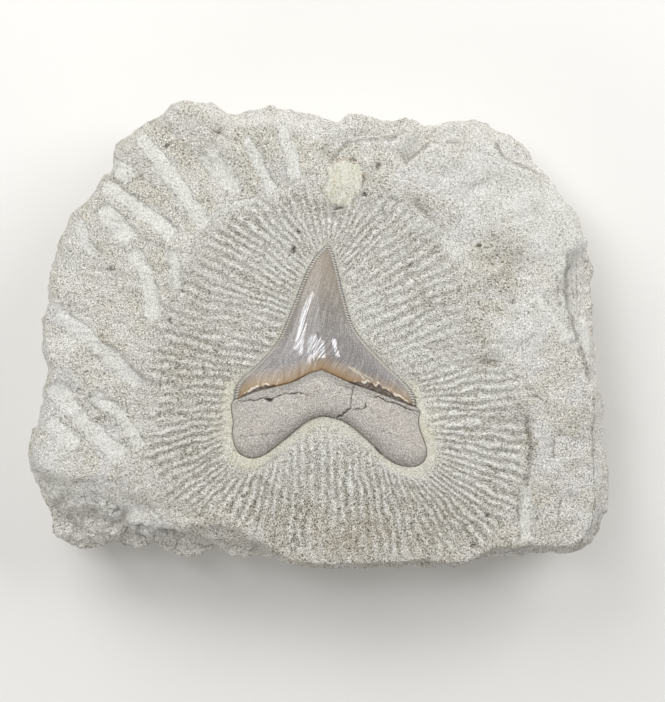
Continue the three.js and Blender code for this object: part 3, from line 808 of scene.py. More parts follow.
class StoneFrame:
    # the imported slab, measured with rays

    def __init__(self):
        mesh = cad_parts["stone_slab"].data
        places = [vertex.co / mm for vertex in mesh.vertices]
        self.tree = BVHTree.FromPolygons(places, [tuple(face.vertices) for face in mesh.polygons])
        self.far = 3 * slabHigh[0]

    def topAt(self, places):
        # height of the worked face at each place
        flat = places.reshape(-1, 2)
        down = Vector((0, 0, -1))
        hits = [self.tree.ray_cast(Vector((x, y, self.far)), down)[0] for x, y in flat]
        heights = np.array([hit.z if hit else np.nan for hit in hits]).reshape(places.shape[:-1])
        for ring in range(1, len(heights)):
            missed = np.isnan(heights[ring])
            heights[ring][missed] = heights[ring - 1][missed]
        return heights

    def reachAt(self, start, way, height):
        # how far the slab reaches from a place, along a direction and at a height
        outside = start + way * self.far
        hit = self.tree.ray_cast(Vector((*outside, height)), Vector((*-way, 0)))
        return self.far - hit[3] if hit[0] else np.nan


def closedInterp(at, stations, values, period, jump=0):
    # numbers part of the way between stations that go round; jump is what a full turn adds
    stations = np.append(stations, stations[0] + period)
    values = np.vstack([values, values[:1] + jump])
    turned = (at - stations[0]) % period + stations[0]
    return np.stack([np.interp(turned, stations, column) for column in values.T], -1)


def furrowRays():
    # for each column of the mesh: u and s beside the tooth, start, direction, furrow length
    guides = np.array(fanFurrows, float)
    outline = outlinePlaces + toothOrigin
    steps = np.hypot(*(np.roll(outline, -1, 0) - outline).T)
    passed = np.concatenate([[0], np.cumsum(steps)[:-1]])
    nearest = [np.argmin(np.hypot(*(outline - guide[:2]).T)) for guide in guides]
    ends = guides[:, 2:]
    gaps = np.hypot(*(np.roll(ends, -1, 0) - ends).T)
    stations = np.concatenate([[0], np.cumsum(gaps)[:-1]])
    count = stoneShape["furrows"] * stoneShape["columnsEach"]
    at = np.arange(count) / count * gaps.sum()
    begun = closedInterp(at, stations, passed[nearest][:, None], gaps.sum(), steps.sum())[:, 0]
    beside = np.column_stack([outline, outlineU, outlineS])
    beside = closedInterp(begun, passed, beside, steps.sum())
    start, u, s = beside[:, :2], beside[:, 2], beside[:, 3]
    toEnd = closedInterp(at, stations, ends, gaps.sum()) - start
    length = np.hypot(*toEnd.T)
    return u, s, start, toEnd / length[:, None], length


def acrossFurrow(values):
    # the mean over one furrow's width, all the way round
    each = stoneShape["columnsEach"]
    weights = np.ones(each + 1)
    weights[[0, -1]] = 0.5
    shifts = range(-(each // 2), each // 2 + 1)
    return sum(w * np.roll(values, k, 1) for w, k in zip(weights / each, shifts))


def edgeProfile(stone, start, way):
    # the slab's edge along one ray: how far it reaches, then distances and heights down its side
    _, upwards, downwards = stoneShape["raySamples"]
    levels = np.linspace(0.05, faceHeight + 1, upwards)
    reach = np.array([stone.reachAt(start, way, level) for level in levels])
    reach = np.where(np.isnan(reach), 0, reach)
    widest = int(np.argmax(reach))
    side = np.linspace(levels[widest], levels[0], downwards)
    return reach[widest], np.interp(side, levels, reach), side


def bedRings(u, s, way, gap):
    # the bed follows the tooth's back
    shares = np.linspace(1, 0, stoneShape["bedRings"] + 1)[1:, None]
    bedU, bedS = 0.5 + (u - 0.5) * (1 - shares), 1 + (s - 1) * (1 - shares)
    places = toothPlace(bedU, bedS) + toothOrigin + way * gap[:, None] * (1 - shares)[..., None]
    heights = toothHeights(bedU, bedS)[1] + faceHeight - stoneShape["bedGap"]
    return np.dstack([places, heights])


def outerRings(stone, start, way, length):
    # rings from the furrows' ends over the edge and down the sides, evenly spread along each ray
    edges = [edgeProfile(stone, *ray) for ray in zip(start, way)]
    reach = np.array([edge[0] for edge in edges])
    beyond = blend(length, reach - 0.3, np.linspace(0, 1, stoneShape["raySamples"][0])[:, None])
    heights = acrossFurrow(stone.topAt(start + way * beyond[..., None]))
    rings = np.zeros((stoneShape["outerRings"], len(start), 3))
    for column, (_, sideReach, sideHeight) in enumerate(edges):
        distance = np.concatenate([beyond[:, column], sideReach])
        height = np.concatenate([heights[:, column], sideHeight])
        spacing = np.hypot(np.diff(distance), np.diff(height))
        spacing[len(beyond):] *= stoneShape["sideStep"]
        passed = np.concatenate([[0], np.cumsum(spacing)])
        at = np.linspace(0, passed[-1], len(rings) + 1)[1:]
        rings[:, column, :2] = start[column] + way[column] * np.interp(at, passed, distance)[:, None]
        rings[:, column, 2] = np.interp(at, passed, height)
    rings[-1, :, 2] = 0
    return rings


def stoneRings(stone):
    # the slab's points, ring by ring from the middle of the tooth's bed to the middle of the back
    shape = stoneShape
    u, s, start, way, length = furrowRays()
    byCrown, byRoot, belowRoot = shape["lipWidths"]
    lip = blend(byCrown, blend(byRoot, belowRoot, soft(-way[:, 1], 0, 0.7)), soft(s, 0.75, 1.0))
    lip *= 1 + 0.3 * lumps(np.column_stack([start, start[:, 0] * 0]), 5, 40)
    gap = blend(shape["crownGap"], shape["mouthGap"], soft(s, 0.9, 1.0))
    lipShares = np.linspace(0, 1, shape["lipRings"])[:, None]
    fanShares = np.linspace(0, 1, shape["fanRings"] + 1)[1:, None]
    out = np.vstack([blend(gap, lip, lipShares), blend(lip, length, fanShares)])
    measured = start + way * np.maximum(out, 0.9)[..., None]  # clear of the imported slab's bed
    face = np.dstack([start + way * out[..., None], acrossFurrow(stone.topAt(measured))])
    outer = outerRings(stone, start, way, length)
    back = outer[-1] * np.array(shape["backShares"])[:, None, None]
    rays = {"out": out, "lip": lip, "length": length, "byRoot": soft(s, 0.75, 0.95)}
    return np.concatenate([bedRings(u, s, way, gap), face, outer, back]), rays


def gridNormals(rings):
    outward = np.gradient(rings, axis=0)
    around = np.roll(rings, -1, 1) - np.roll(rings, 1, 1)
    normals = np.cross(outward, around)
    return normals / np.maximum(np.linalg.norm(normals, axis=2, keepdims=True), 1e-9)


def chiselWork(flat):
    # how much each stroke in the rows lowers the face, and how fresh it looks
    rows = chiselRows
    toMiddle = flat - rows["middle"]
    radius = np.hypot(toMiddle[..., 0], toMiddle[..., 1]) + 3 * lumps(flat, 11, 61)
    row = np.floor(radius / rows["length"]).astype(int)
    around = np.round(2 * math.pi * (row + 0.5) * rows["length"] / rows["width"])
    chances = np.random.default_rng(rows["seed"]).random((2, 64, 512))
    turn = np.arctan2(toMiddle[..., 1], toMiddle[..., 0]) / (2 * math.pi) + 0.5
    turn = turn * around + 7 * chances[0, row, 0] + 0.25 * lumps(flat, 6, 62)
    stroke = np.floor(turn).astype(int)
    across = turn - stroke
    depth, fresh = chances[0, row, stroke % 512], chances[1, row, stroke % 512]
    inside = soft(across, 0, 0.12) * soft(1 - across, 0, 0.12)
    slope = 0.6 * (across - 0.5) * np.sign(fresh - 0.5)
    where = np.clip(spots(flat, rows["where"]), 0, 1)
    return rows["depth"] * inside * (0.3 + depth + slope) * where, inside * soft(fresh, 0.5, 0.8) * where


def cutStrokes(flat, wander):
    # how deep the chisel's strokes are, how much of each place they cover, and how far inside it lies
    uneven, shaking = 1 + 0.2 * lumps(flat, 8, 35), 2 * lumps(flat, 5, 33)
    depths, covered = np.zeros(flat.shape[:2]), np.zeros(flat.shape[:2])
    inside = np.full(flat.shape[:2], -stoneRough["edgeReach"])
    for line, half, deep, steep in scrapes:
        distance, along, side, length = fromLine(wander, line, past=20)
        across = steep * side * distance / (1.12 * half * uneven)  # 1 at the steep wall
        ends = soft(along, -0.5, 2.5) * (1 - soft(along, length - 0.2, length + 0.3))
        cut = (1 - soft(across, 0.9, 1.06)) * soft(across, -1.2, -0.3) * ends
        chatter = 0.1 * np.sin(2 * np.pi * along / 1.5 + shaking)
        depths += cut * (deep * (0.45 + 0.25 * across) + chatter)
        covered = np.maximum(covered, cut)
        edges = (half * (1 - across), 0.5 * half * (1 + across), 0.5 * along, length - along)
        inside = np.maximum(inside, np.minimum.reduce(edges))
    return depths, covered, inside


def cutCreases(flat, wander):
    # how deep the creases and the ledges beside them are, and how much painted shade darkens the creases
    uneven = 1 + 0.5 * lumps(flat, 3, 34)
    depths, dark = np.zeros(flat.shape[:2]), np.zeros(flat.shape[:2])
    for line, half, deep, fall, fallReach in creases:
        distance, along, side, length = fromLine(wander, line)
        ends = soft(along, -0.1, 2.5) * soft(length - along, -0.1, 2.5)
        groove = np.exp(-((distance / half) ** 2)) * ends * uneven
        lowSide = side * np.sign(fall) > 0
        ledge = lowSide * soft(fallReach - distance, 0, fallReach) * soft(distance, 0, half)
        depths += deep * groove + abs(fall) * ledge * ends
        dark = np.maximum(dark, groove * min(1, deep / 0.6))  # a ridge has a negative depth
    return depths, dark


def cutPits(wander):
    holes = [soft(spot(wander, *pit[:4]), 0.15, 0.6) for pit in pits]
    return sum(pit[4] * hole for pit, hole in zip(pits, holes)), np.maximum.reduce(holes)


def worked(rings, onTop):
    # how much the strokes, creases and pits lower the face, and how much of each shows
    flat = rings[..., :2]
    wander = wavering(flat, 0.5, 4, 31)
    rowDepths, freshness = chiselWork(flat)
    strokeDepths, scraped, strokeEdge = cutStrokes(flat, wander)
    creaseDepths, creaseShaded = cutCreases(flat, wander)
    pitDepths, pitted = cutPits(wander)
    reach = stoneRough["edgeReach"]
    distance, _, side, _ = fromLine(flat, filler)
    fillerEdge = np.clip(-side * distance, -reach, reach)
    filled = soft(fillerEdge, -0.5, 0.5)
    lowered = blend(rowDepths + strokeDepths + creaseDepths + pitDepths, -stoneRough["fillerRise"], filled)
    tones = {
        "scrapeTone": np.maximum(scraped, 0.4 * freshness) * onTop,
        "creaseShade": creaseShaded * onTop * (1 - filled),
        "strokeEdge": np.where(onTop > 0.5, strokeEdge, -reach),
        "fillerEdge": fillerEdge,
        "pitShade": pitted,
    }
    return lowered * onTop, tones, filled


class StoneZones:
    # how much each point of the rings belongs to each part of the stone

    def __init__(self, rings, rays):
        x, y, high = np.moveaxis(rings, -1, 0)
        lip, length = rays["lip"], rays["length"]
        first, beyond = stoneShape["bedRings"], stoneShape["bedRings"] + len(rays["out"])
        edge = rings[beyond:, :, :2] - rings[beyond - 1, :, :2]
        self.out = np.zeros(high.shape)  # how far from the tooth
        self.out[first:beyond] = rays["out"]
        self.out[beyond:] = length + np.hypot(edge[..., 0], edge[..., 1])
        index = np.arange(len(rings))[:, None]
        self.shown = (index >= first) & (index < len(rings) - len(stoneShape["backShares"]))
        self.onTop = soft(high, faceHeight - 10, faceHeight - 3) * self.shown
        self.offFloor = self.shown * soft(high, 0.1, 2)
        self.nearTooth = (1 - soft(self.out, lip - 0.5, lip + 1.6)) * self.shown
        self.byCrown = (1 - soft(self.out, 0.5, 1.8)) * self.shown
        self.byCrown *= soft(y, toothOrigin[1] - 10, toothOrigin[1] - 2)

        # the furrows fade in beyond the smooth stone, and end raggedly
        self.phase = np.arange(rings.shape[1]) / stoneShape["columnsEach"] * np.ones_like(high)
        furrow = np.floor(self.phase + 0.5) % stoneShape["furrows"]
        end = length + 4.5 * lumps(np.dstack([furrow * 0.73, furrow * 0, furrow * 0]), 1, 41)
        downwards = soft(-np.gradient(y, axis=0), 0, 0.4)
        fadeIn = blend(blend(0.8, 4, soft(x, 6, 12)), 3.5, downwards)
        begun = soft(self.out, lip - 0.6, lip + fadeIn)
        patchy = 0.85 + 0.35 * lumps(rings[..., :2], 14, 42) + 0.2 * soft(-y, 35, 50)
        patchy *= 1 - spots(rings, faintAreas)
        ended = soft(self.out, end - 3, end + 1.5)
        self.furrows = np.clip(begun * (1 - ended) * patchy, 0, 1.2) * self.onTop
        self.inFan = begun * (1 - soft(self.out, length - 2, length + 3)) * self.onTop

        self.yellowed = 1 - soft(self.out + 2 * lumps(rings, 5, 43), 0.4 * lip, lip + 2.6)
        self.yellowed *= 0.8 + 0.35 * lumps(rings, 6, 44)
        self.yellowed *= rays["byRoot"] * self.shown * (1 - 0.4 * downwards)
        plainRim = 0.25 * (1 - self.inFan) * (1 - self.nearTooth) * soft(self.out - length, 2, 7)
        brokenEdge = soft(faceHeight - high, 1.2, 5) * soft(high, 0.2, 4) * (self.out > lip + 3)
        self.broken = np.maximum(brokenEdge, plainRim) * self.shown


def roughness(rings, zones):
    # how far each place stands out of the smooth slab, and where the crags are
    def rolling(name):
        return sum(high * lumps(rings, size, seed) for size, high, seed in stoneRough[name])

    def scooped(name):
        return sum(deep * (0.3 - scoops(rings, size, seed)) for size, deep, seed in stoneRough[name])

    fallen = faceHeight - rings[..., 2]
    crags = spot(rings, *stoneRough["cragCorner"]) * soft(fallen, 0.5, 3) * zones.shown
    hackly = scooped("hackly") + scooped("topPlanes") * zones.onTop
    rough = (rolling("rolling") + hackly * (1 + 0.7 * soft(fallen, 8, 16))) * (1 - zones.inFan)
    rough += rolling("grainy") + scooped("crags") * crags + scooped("brokenEdges") * zones.broken
    return rough * (1 - 0.6 * spot(rings, *stoneRough["smoothWall"])), crags


def stoneFaces(rings):
    # faces between the rings, and round the one point in the middle of each end
    numbers = np.arange(rings.size // 3).reshape(rings.shape[:2])
    faces = gridFaces(numbers, around=True)
    middle, back = numbers.size, numbers.size + 1
    faces += [(middle, int(a), int(b)) for a, b in zip(numbers[0], np.roll(numbers[0], -1))]
    faces += [(back, int(b), int(a)) for a, b in zip(numbers[-1], np.roll(numbers[-1], -1))]
    return faces


def makeStone(material):
    rings, rays = stoneRings(StoneFrame())
    print("stone: measured", rings.shape)
    zones = StoneZones(rings, rays)
    lowered, workTones, filled = worked(rings, zones.onTop)
    rough, crags = roughness(rings, zones)
    rough *= 1 - 0.75 * np.maximum(workTones["scrapeTone"], filled)
    rough *= (1 - zones.nearTooth) * (1 - 0.35 * zones.inFan)
    rough += 0.1 * lumps(rings, 4, 54)
    rings = rings + gridNormals(rings) * (rough * zones.offFloor)[..., None]
    rings[..., 2] -= lowered * (1 - zones.nearTooth) + 0.35 * zones.byCrown
    print("stone: worked")

    # paler on the slab's sides and broken edges: pale broken stone, with painted light on walls that face
    # away from the lamps
    edgePaleAndLit = soft(faceHeight - rings[..., 2], 2.5, 7) * zones.shown
    tones = {
        "furrowPhase": zones.phase,
        "furrowStrength": zones.furrows,
        "alongFurrow": zones.out * mm,
        "brokenStrength": zones.broken,
        "lipTone": zones.nearTooth,
        "fanShade": zones.inFan,
        "edgePaleAndLit": edgePaleAndLit,
        "cragTone": np.maximum(crags, 0.5 * edgePaleAndLit),
        **workTones,
        **{name: spots(rings, areas) * zones.onTop for name, areas in stains.items()},
    }
    tones["yellowTone"] = np.maximum(tones["yellowTone"], zones.yellowed)
    tones = {name: np.append(values.ravel(), [0, 0]) for name, values in tones.items()}
    places = np.vstack([rings.reshape(-1, 3), [bedMiddle(), (0, 0, 0)]])
    piece = makePiece("stone", places, stoneFaces(rings), tones)
    settings = {**furrowShape, "Stone": material}
    applyTree(piece, furrowTree(settings), settings)
    return piece


def bedMiddle():
    u, s = np.array([0.5]), np.array([1.0])
    place = toothPlace(u, s)[0] + toothOrigin
    return (*place, toothHeights(u, s)[1][0] + faceHeight - stoneShape["bedGap"])


def furrowTree(settings):
    # tool furrows round the tooth, with the marks of each stroke, and scoops at the broken edges
    tree, given = newTree("toolFurrows", settings)
    place = put(tree, "GeometryNodeInputPosition")

    def attribute(name):
        return put(tree, "GeometryNodeInputNamedAttribute", {"Name": name}, data_type="FLOAT")

    def lumpy(length):
        scale = calc(tree, "DIVIDE", 1.0, length)
        inputs = {"Vector": place, "W": given["Seed"], "Scale": scale, "Detail": 1.0}
        return put(tree, "ShaderNodeTexNoise", inputs, noise_dimensions="4D")

    def add(a, b):
        return calc(tree, "ADD", a, b)

    def take(a, b):
        return calc(tree, "SUBTRACT", a, b)

    def times(a, b):
        return calc(tree, "MULTIPLY", a, b)

    wander = times(ranged(tree, lumpy(given["Wander Length"]), 0.3, 0.7, -1.0, 1.0), given["Wander"])
    phase = add(add(attribute("furrowPhase"), wander), 0.5)
    across = calc(tree, "MULTIPLY_ADD", calc(tree, "FRACT", phase), 2.0, -1.0)
    crest = calc(tree, "MULTIPLY_ADD", calc(tree, "COSINE", times(across, math.pi)), -0.5, 0.5)
    broken = times(ranged(tree, lumpy(given["Break Length"]), 0.5, 0.68, 0.0, 1.0), given["Break"])
    crest = times(crest, take(1.0, broken))  # 1 on a whole ridge and 0 in a furrow

    furrow = calc(tree, "MODULO", calc(tree, "FLOOR", phase), float(stoneShape["furrows"]))
    chance = put(tree, "ShaderNodeTexWhiteNoise", {"W": furrow}, noise_dimensions="1D")
    spacing = times(given["Dent Spacing"], ranged(tree, chance, 0.0, 1.0, 0.75, 1.3))
    stroke = calc(tree, "DIVIDE", attribute("alongFurrow"), spacing)
    stroke = add(add(stroke, times(chance, 9.0)), lumpy(given["Wander Length"]))
    dent = calc(tree, "MULTIPLY_ADD", calc(tree, "COSINE", times(stroke, 2 * math.pi)), 0.5, 0.5)
    dent = times(dent, take(1.0, crest))
    raised = take(times(take(crest, 0.45), given["Depth"]), times(dent, given["Dent Depth"]))
    lifted = put(tree, "ShaderNodeCombineXYZ", {"Z": times(raised, attribute("furrowStrength"))})

    inputs = {"Vector": place, "Scale": calc(tree, "DIVIDE", 1.0, given["Scoop Size"]), "Detail": 1.0}
    scoop = put(tree, "ShaderNodeTexVoronoi", inputs)
    scoop = times(times(take(times(scoop, scoop), 0.3), given["Scoop Depth"]), attribute("brokenStrength"))
    normal = put(tree, "GeometryNodeInputNormal")
    scooped = put(tree, "ShaderNodeVectorMath", {0: normal, "Scale": scoop}, operation="SCALE")
    offset = put(tree, "ShaderNodeVectorMath", {0: lifted, 1: scooped}, operation="ADD")

    # the ridges' height, kept so that their light and shade can be painted
    inputs = {"Geometry": given["Geometry"], "Name": "furrowShading", "Value": take(crest, times(dent, 0.35))}
    stored = put(tree, "GeometryNodeStoreNamedAttribute", inputs, data_type="FLOAT", domain="POINT")
    geometry = put(tree, "GeometryNodeSetPosition", {"Geometry": stored, "Offset": offset})
    endTree(tree, geometry, given["Stone"])
    return tree


# The finishes.

def groundPaints(paints):
    # the stone's colour, the fan and the stains, with painted light and shade among them
    share, tone, grains = paints.share, paints.tone, paints.grains
    paints.lay((214, 213, 209), share(grains(14, 3.0), 0.42, 0.62, 0.7))
    brownish = share(grains(9, 3.0), 0.46, 0.58)
    paints.lay((195, 191, 177), brownish, 0.65)
    tan = ranged(paints.tree, grains(5, 3.0), 0.42, 0.56, 0.3, 1.0)
    paints.lay((193, 186, 166), tone("tanTone"), tan, 0.6)
    # pale stone, and painted light on the lower-left corner and the right margin
    paints.lay((217, 218, 213), tone("paleAndLitTone"), 0.75)
    paints.lay((213, 214, 208), tone("scrapeTone"), 0.6)

    strength, furrow = tone("furrowStrength"), tone("furrowShading")
    # painted shade: the whole fan a little darker
    paints.lay((187, 186, 179), tone("fanShade"), 0.55)
    # painted highlight on the ridges' crests and painted shade down in the furrows
    paints.lay((236, 237, 232), share(furrow, 0.48, 0.85, 0.66), strength)
    paints.lay((137, 137, 124), share(furrow, 0.32, 0.0, 0.62), strength)

    patch = ranged(paints.tree, grains(7, 3.0), 0.38, 0.6, 0.35, 1.0)
    # brown stains, and painted shade towards the bottom
    paints.lay((146, 132, 104), tone("brownStainAndShade"), patch, 0.55)
    paints.lay((160, 153, 124), tone("greenTone"), patch, 0.6)
    paints.lay((207, 207, 193), tone("lipTone"), 0.6)
    paints.lay((208, 203, 178), tone("yellowTone"), 0.58)
    # pale broken stone with painted light on the sides and broken edges
    paints.lay((226, 222, 214), tone("edgePaleAndLit"), 0.85)
    # painted shade along the creases, made ragged with grains
    creaseShaded = calc(paints.tree, "MULTIPLY_ADD", grains(1.2), 0.5, tone("creaseShade"))
    paints.lay((98, 90, 76), share(creaseShaded, 0.55, 0.95, 0.55))
    # painted shade in the pits
    paints.lay((84, 76, 60), share(tone("pitShade"), 0.25, 0.7, 0.9))
    return brownish


def workPaints(paints):
    # crushed paler stone in the deeper strokes, and the yellow filler above the tip
    share, tone, grains = paints.share, paints.tone, paints.grains
    ragged = ranged(paints.tree, grains(1.1, 3.0, 0.7), 0.3, 0.7, -0.5, 0.5)
    crushed = share(calc(paints.tree, "ADD", tone("strokeEdge"), ragged), 0.0, 0.4)
    paints.lay((222, 223, 218), crushed, ranged(paints.tree, grains(0.8), 0.35, 0.6, 0.35, 0.8))
    edge = calc(paints.tree, "ADD", tone("fillerEdge"), paints.times(ragged, 1.5))
    paints.lay((148, 128, 98), share(edge, -1.6, -0.2), share(grains(3), 0.4, 0.6, 0.6))
    filled = share(edge, 0.0, 0.3)
    paints.lay((218, 218, 204), filled, 0.95)
    inputs = {0: paints.place, 1: (1.0, 0.15, 1.0)}
    brushPlace = put(paints.tree, "ShaderNodeVectorMath", inputs, operation="MULTIPLY")
    paints.lay((190, 182, 152), filled, share(grains(0.7, place=brushPlace), 0.5, 0.3, 0.7))
    return crushed, filled


def sandPaints(paints, brownish, smoothed):
    # dark, brown and pale grains, fewer where the tool has smoothed the stone
    tree, share = paints.tree, paints.share
    sandy = ranged(tree, smoothed, 0.0, 1.0, 1.0, 0.6)
    fine = paints.grains(0.27, 1.0)
    paints.lay((76, 71, 55), share(fine, 0.46, 0.36), sandy)
    paints.lay((252, 250, 246), share(fine, 0.53, 0.65, 0.85), sandy)
    stained = share(calc(tree, "ADD", paints.tone("brownStainAndShade"), paints.tone("greenTone")), 0.0, 0.6, 1.5)
    stained = calc(tree, "MAXIMUM", ranged(tree, brownish, 0.0, 1.0, 0.6, 1.1), stained)
    for size, rarest, colour, amount in ((0.4, 0.86, (98, 89, 72), 0.75), (0.6, 0.96, (84, 75, 59), 0.65)):
        cells = put(tree, "ShaderNodeTexVoronoi", {"Vector": paints.place, "Scale": 1 / (size * mm)}, 1)
        chance = put(tree, "ShaderNodeSeparateColor", {"Color": cells})
        paints.lay(colour, share(chance, rarest, rarest + 0.1, amount), sandy, stained)


def stoneRelief(paints, crushed, smoothed):
    # the finest relief, in millimetres: grain, facets on the crags, and faint flutes at the right edge
    tree, times, grains = paints.tree, paints.times, paints.grains
    relief = calc(tree, "ADD", times(grains(0.55, 3.0, 0.7), 0.3), times(grains(2.2), 0.3))
    relief = times(relief, ranged(tree, smoothed, 0.0, 1.0, 1.0, 0.6))
    bent = put(tree, "ShaderNodeTexNoise", {"Vector": paints.place, "Scale": 1 / (5 * mm), "Detail": 2.0}, 1)
    bent = put(tree, "ShaderNodeVectorMath", {0: bent, "Scale": 4 * mm}, operation="SCALE")
    bent = put(tree, "ShaderNodeVectorMath", {0: bent, 1: paints.place}, operation="ADD")
    facets = put(tree, "ShaderNodeTexVoronoi", {"Vector": bent, "Scale": 1 / (4.5 * mm), "Detail": 2.0})
    relief = calc(tree, "MULTIPLY_ADD", facets, times(paints.tone("cragTone"), 3.0), relief)
    relief = calc(tree, "SUBTRACT", relief, times(crushed, 0.18))
    across = put(tree, "ShaderNodeSeparateXYZ", {"Vector": paints.place})
    flutes = calc(tree, "MULTIPLY_ADD", across, 2 * math.pi / (1.6 * mm), times(grains(9, 1.0), 14.0))
    depth = times(paints.tone("fluteTone"), 0.26)
    return calc(tree, "MULTIPLY_ADD", calc(tree, "SINE", flutes), depth, relief)


def stoneFinish():
    paints = Paints("sandyStone", (208, 206, 202))
    brownish = groundPaints(paints)
    crushed, filled = workPaints(paints)
    smoothed = paints.tone("lipTone")
    for other, amount in (
        (paints.tone("yellowTone"), 1.0), (paints.tone("paleAndLitTone"), 0.9), (crushed, 0.9), (filled, 1.3),
    ):
        smoothed = calc(paints.tree, "MAXIMUM", smoothed, paints.times(other, amount))
    sandPaints(paints, brownish, smoothed)
    return paints.finish(0.92, 1.0, stoneRelief(paints, crushed, smoothed), Specular_IOR_Level=0.25)


def toothGround(paints):
    # what both the enamel and the root have: cracks darkened with painted shade, and the dark layer where
    # enamel broke away
    mottled = paints.share(paints.grains(0.6), 0.4, 0.6)
    paints.lay((84, 76, 70), paints.tone("chipTone"), 0.95)
    paints.lay((138, 130, 122), paints.tone("chipTone"), mottled, 0.55)
    paints.lay((58, 50, 44), paints.tone("crackShade"), 0.9)


def crownPaints(paints, streaks, scratches):
    # grey enamel, browner at the tip, with fine streaks down it
    speckle = paints.grains(0.45, 1.0)
    paints.lay((166, 151, 129), paints.tone("tipTone"), 0.62)
    for colour, *ramp in (
        ((128, 125, 130), paints.tone("belowEnamel"), -17.0, -5.0, 0.6),
        ((180, 175, 168), streaks, 0.52, 0.68, 0.6),
        ((118, 112, 108), streaks, 0.47, 0.34, 0.5),
        ((194, 190, 184), scratches, 0.54, 0.7, 0.6),
        ((118, 112, 108), scratches, 0.46, 0.32, 0.4),
        ((186, 182, 176), speckle, 0.52, 0.7, 0.45),
        ((112, 107, 103), speckle, 0.48, 0.3, 0.45),
    ):
        paints.lay(colour, paints.share(*ramp))


def crownEnds(paints, streaks, scratches, rim):
    # the brown band over the root, the cutting edges with painted highlights on their cusps and painted
    # shade between them, and the broken end
    tree, share, tone, grains = paints.tree, paints.share, paints.tone, paints.grains
    ragged = calc(tree, "MULTIPLY_ADD", streaks, 2.4, tone("belowEnamel"))
    band = share(calc(tree, "ADD", ragged, tone("sideTone")), -4.4, 0.6)
    paints.lay((170, 148, 118), band, 0.95)
    paints.lay((138, 112, 80), share(ragged, -1.4, 1.0, 0.8))
    paints.lay((122, 100, 76), band, share(scratches, 0.5, 0.36, 0.6))

    paints.lay((112, 105, 97), rim, 0.75)
    paints.lay((172, 166, 152), rim, share(grains(0.8), 0.5, 0.6, 0.6))
    paints.lay((208, 198, 180), tone("paleStreak"), 0.75)
    # painted shade in the notches between the cusps and painted highlights on the cusps, in turn along each
    # edge
    tick = calc(tree, "COSINE", paints.times(tone("cuspPhase"), 2 * math.pi))
    reached = share(tone("fromEdge"), 1.0, 0.6, 0.9)
    paints.lay((88, 82, 76), share(tick, 0.2, -0.5), reached)
    paints.lay((236, 234, 228), share(tick, 0.0, 0.6), reached)

    # painted shade: a thin dark line under the enamel's broken end
    above, under = share(tone("belowEnamel"), -0.5, -0.15), share(tone("belowEnamel"), 0.5, 0.15)
    paints.lay((88, 72, 54), above, under, 0.6)
    toothGround(paints)
    crumbs = calc(tree, "MULTIPLY_ADD", grains(0.7, 3.0, 0.7), 1.6, tone("brokenRim"))
    paints.lay((226, 217, 205), share(crumbs, 1.1, 1.4, 0.85))
    # painted highlight on the cusps' own mesh
    paints.lay((226, 223, 216), tone("cuspHighlight"), 0.95)


def enamelFinish():
    paints = Paints("toothEnamel", (131, 127, 123))
    tree, times = paints.tree, paints.times
    place = {"X": paints.tone("acrossTooth"), "Y": times(paints.tone("downTooth"), 0.045)}
    place = put(tree, "ShaderNodeCombineXYZ", place)
    inputs = {"Vector": place, "Scale": 1.5, "Detail": 4.0, "Roughness": 0.65}
    streaks = put(tree, "ShaderNodeTexNoise", inputs)
    scratches = put(tree, "ShaderNodeTexNoise", {"Vector": place, "Scale": 2.6, "Detail": 2.0})
    rim = paints.share(paints.tone("fromEdge"), 2.2, 0.5)
    crownPaints(paints, streaks, scratches)
    crownEnds(paints, streaks, scratches, rim)

    # a clear coat where the enamel still has its polish, worn through in fine lines
    lines = calc(tree, "ADD", times(streaks, 0.6), times(scratches, 0.4))
    polish = calc(tree, "MULTIPLY_ADD", paints.tone("polishTone"), paints.share(lines, 0.48, 0.54), 0.1)
    tree.links.new(polish, paints.shader.inputs["Coat Weight"])
    relief = calc(tree, "ADD", streaks, times(paints.grains(0.5), 0.12))
    rough = ranged(tree, rim, 0.0, 1.0, 0.4, 0.6)
    return paints.finish(rough, 0.05, relief, Specular_IOR_Level=0.22, Coat_Roughness=0.07, Coat_IOR=2.0)


def rootFinish():
    paints = Paints("toothRoot", (178, 174, 168))
    share, tone, grains = paints.share, paints.tone, paints.grains
    paints.lay((188, 185, 178), share(grains(7, 3.0), 0.45, 0.62, 0.6))
    paints.lay((186, 175, 166), share(grains(9), 0.5, 0.65, 0.35))
    paints.lay((150, 143, 134), share(grains(1.6, 4.0, 0.7), 0.56, 0.7, 0.45))
    # painted shade, darker towards the root's base, then a brown stain along its very edge
    paints.lay((138, 133, 127), tone("baseShadeAndStain"), 0.8)
    stained = ranged(paints.tree, grains(1.4, 3.0), 0.4, 0.6, 0.1, 0.8)
    paints.lay((112, 96, 76), share(tone("baseShadeAndStain"), 0.96, 1.0), stained)
    fine = grains(0.34, 1.5)
    paints.lay((122, 114, 105), share(fine, 0.48, 0.3, 0.9))
    paints.lay((232, 228, 221), share(fine, 0.53, 0.68, 0.8))
    toothGround(paints)
    relief = calc(paints.tree, "ADD", grains(0.6, 3.0, 0.7), grains(2.4))
    return paints.finish(0.72, 0.12, relief, Specular_IOR_Level=0.35)


def plainFloor():
    paints = Paints("palePaper", (232, 231, 228))
    rough = ranged(paints.tree, paints.grains(6, 3.0), 0.3, 0.7, 0.85, 0.95)
    return paints.finish(rough, 0.02, paints.grains(1.5, 3.0))


# The floor, the lights and the camera.

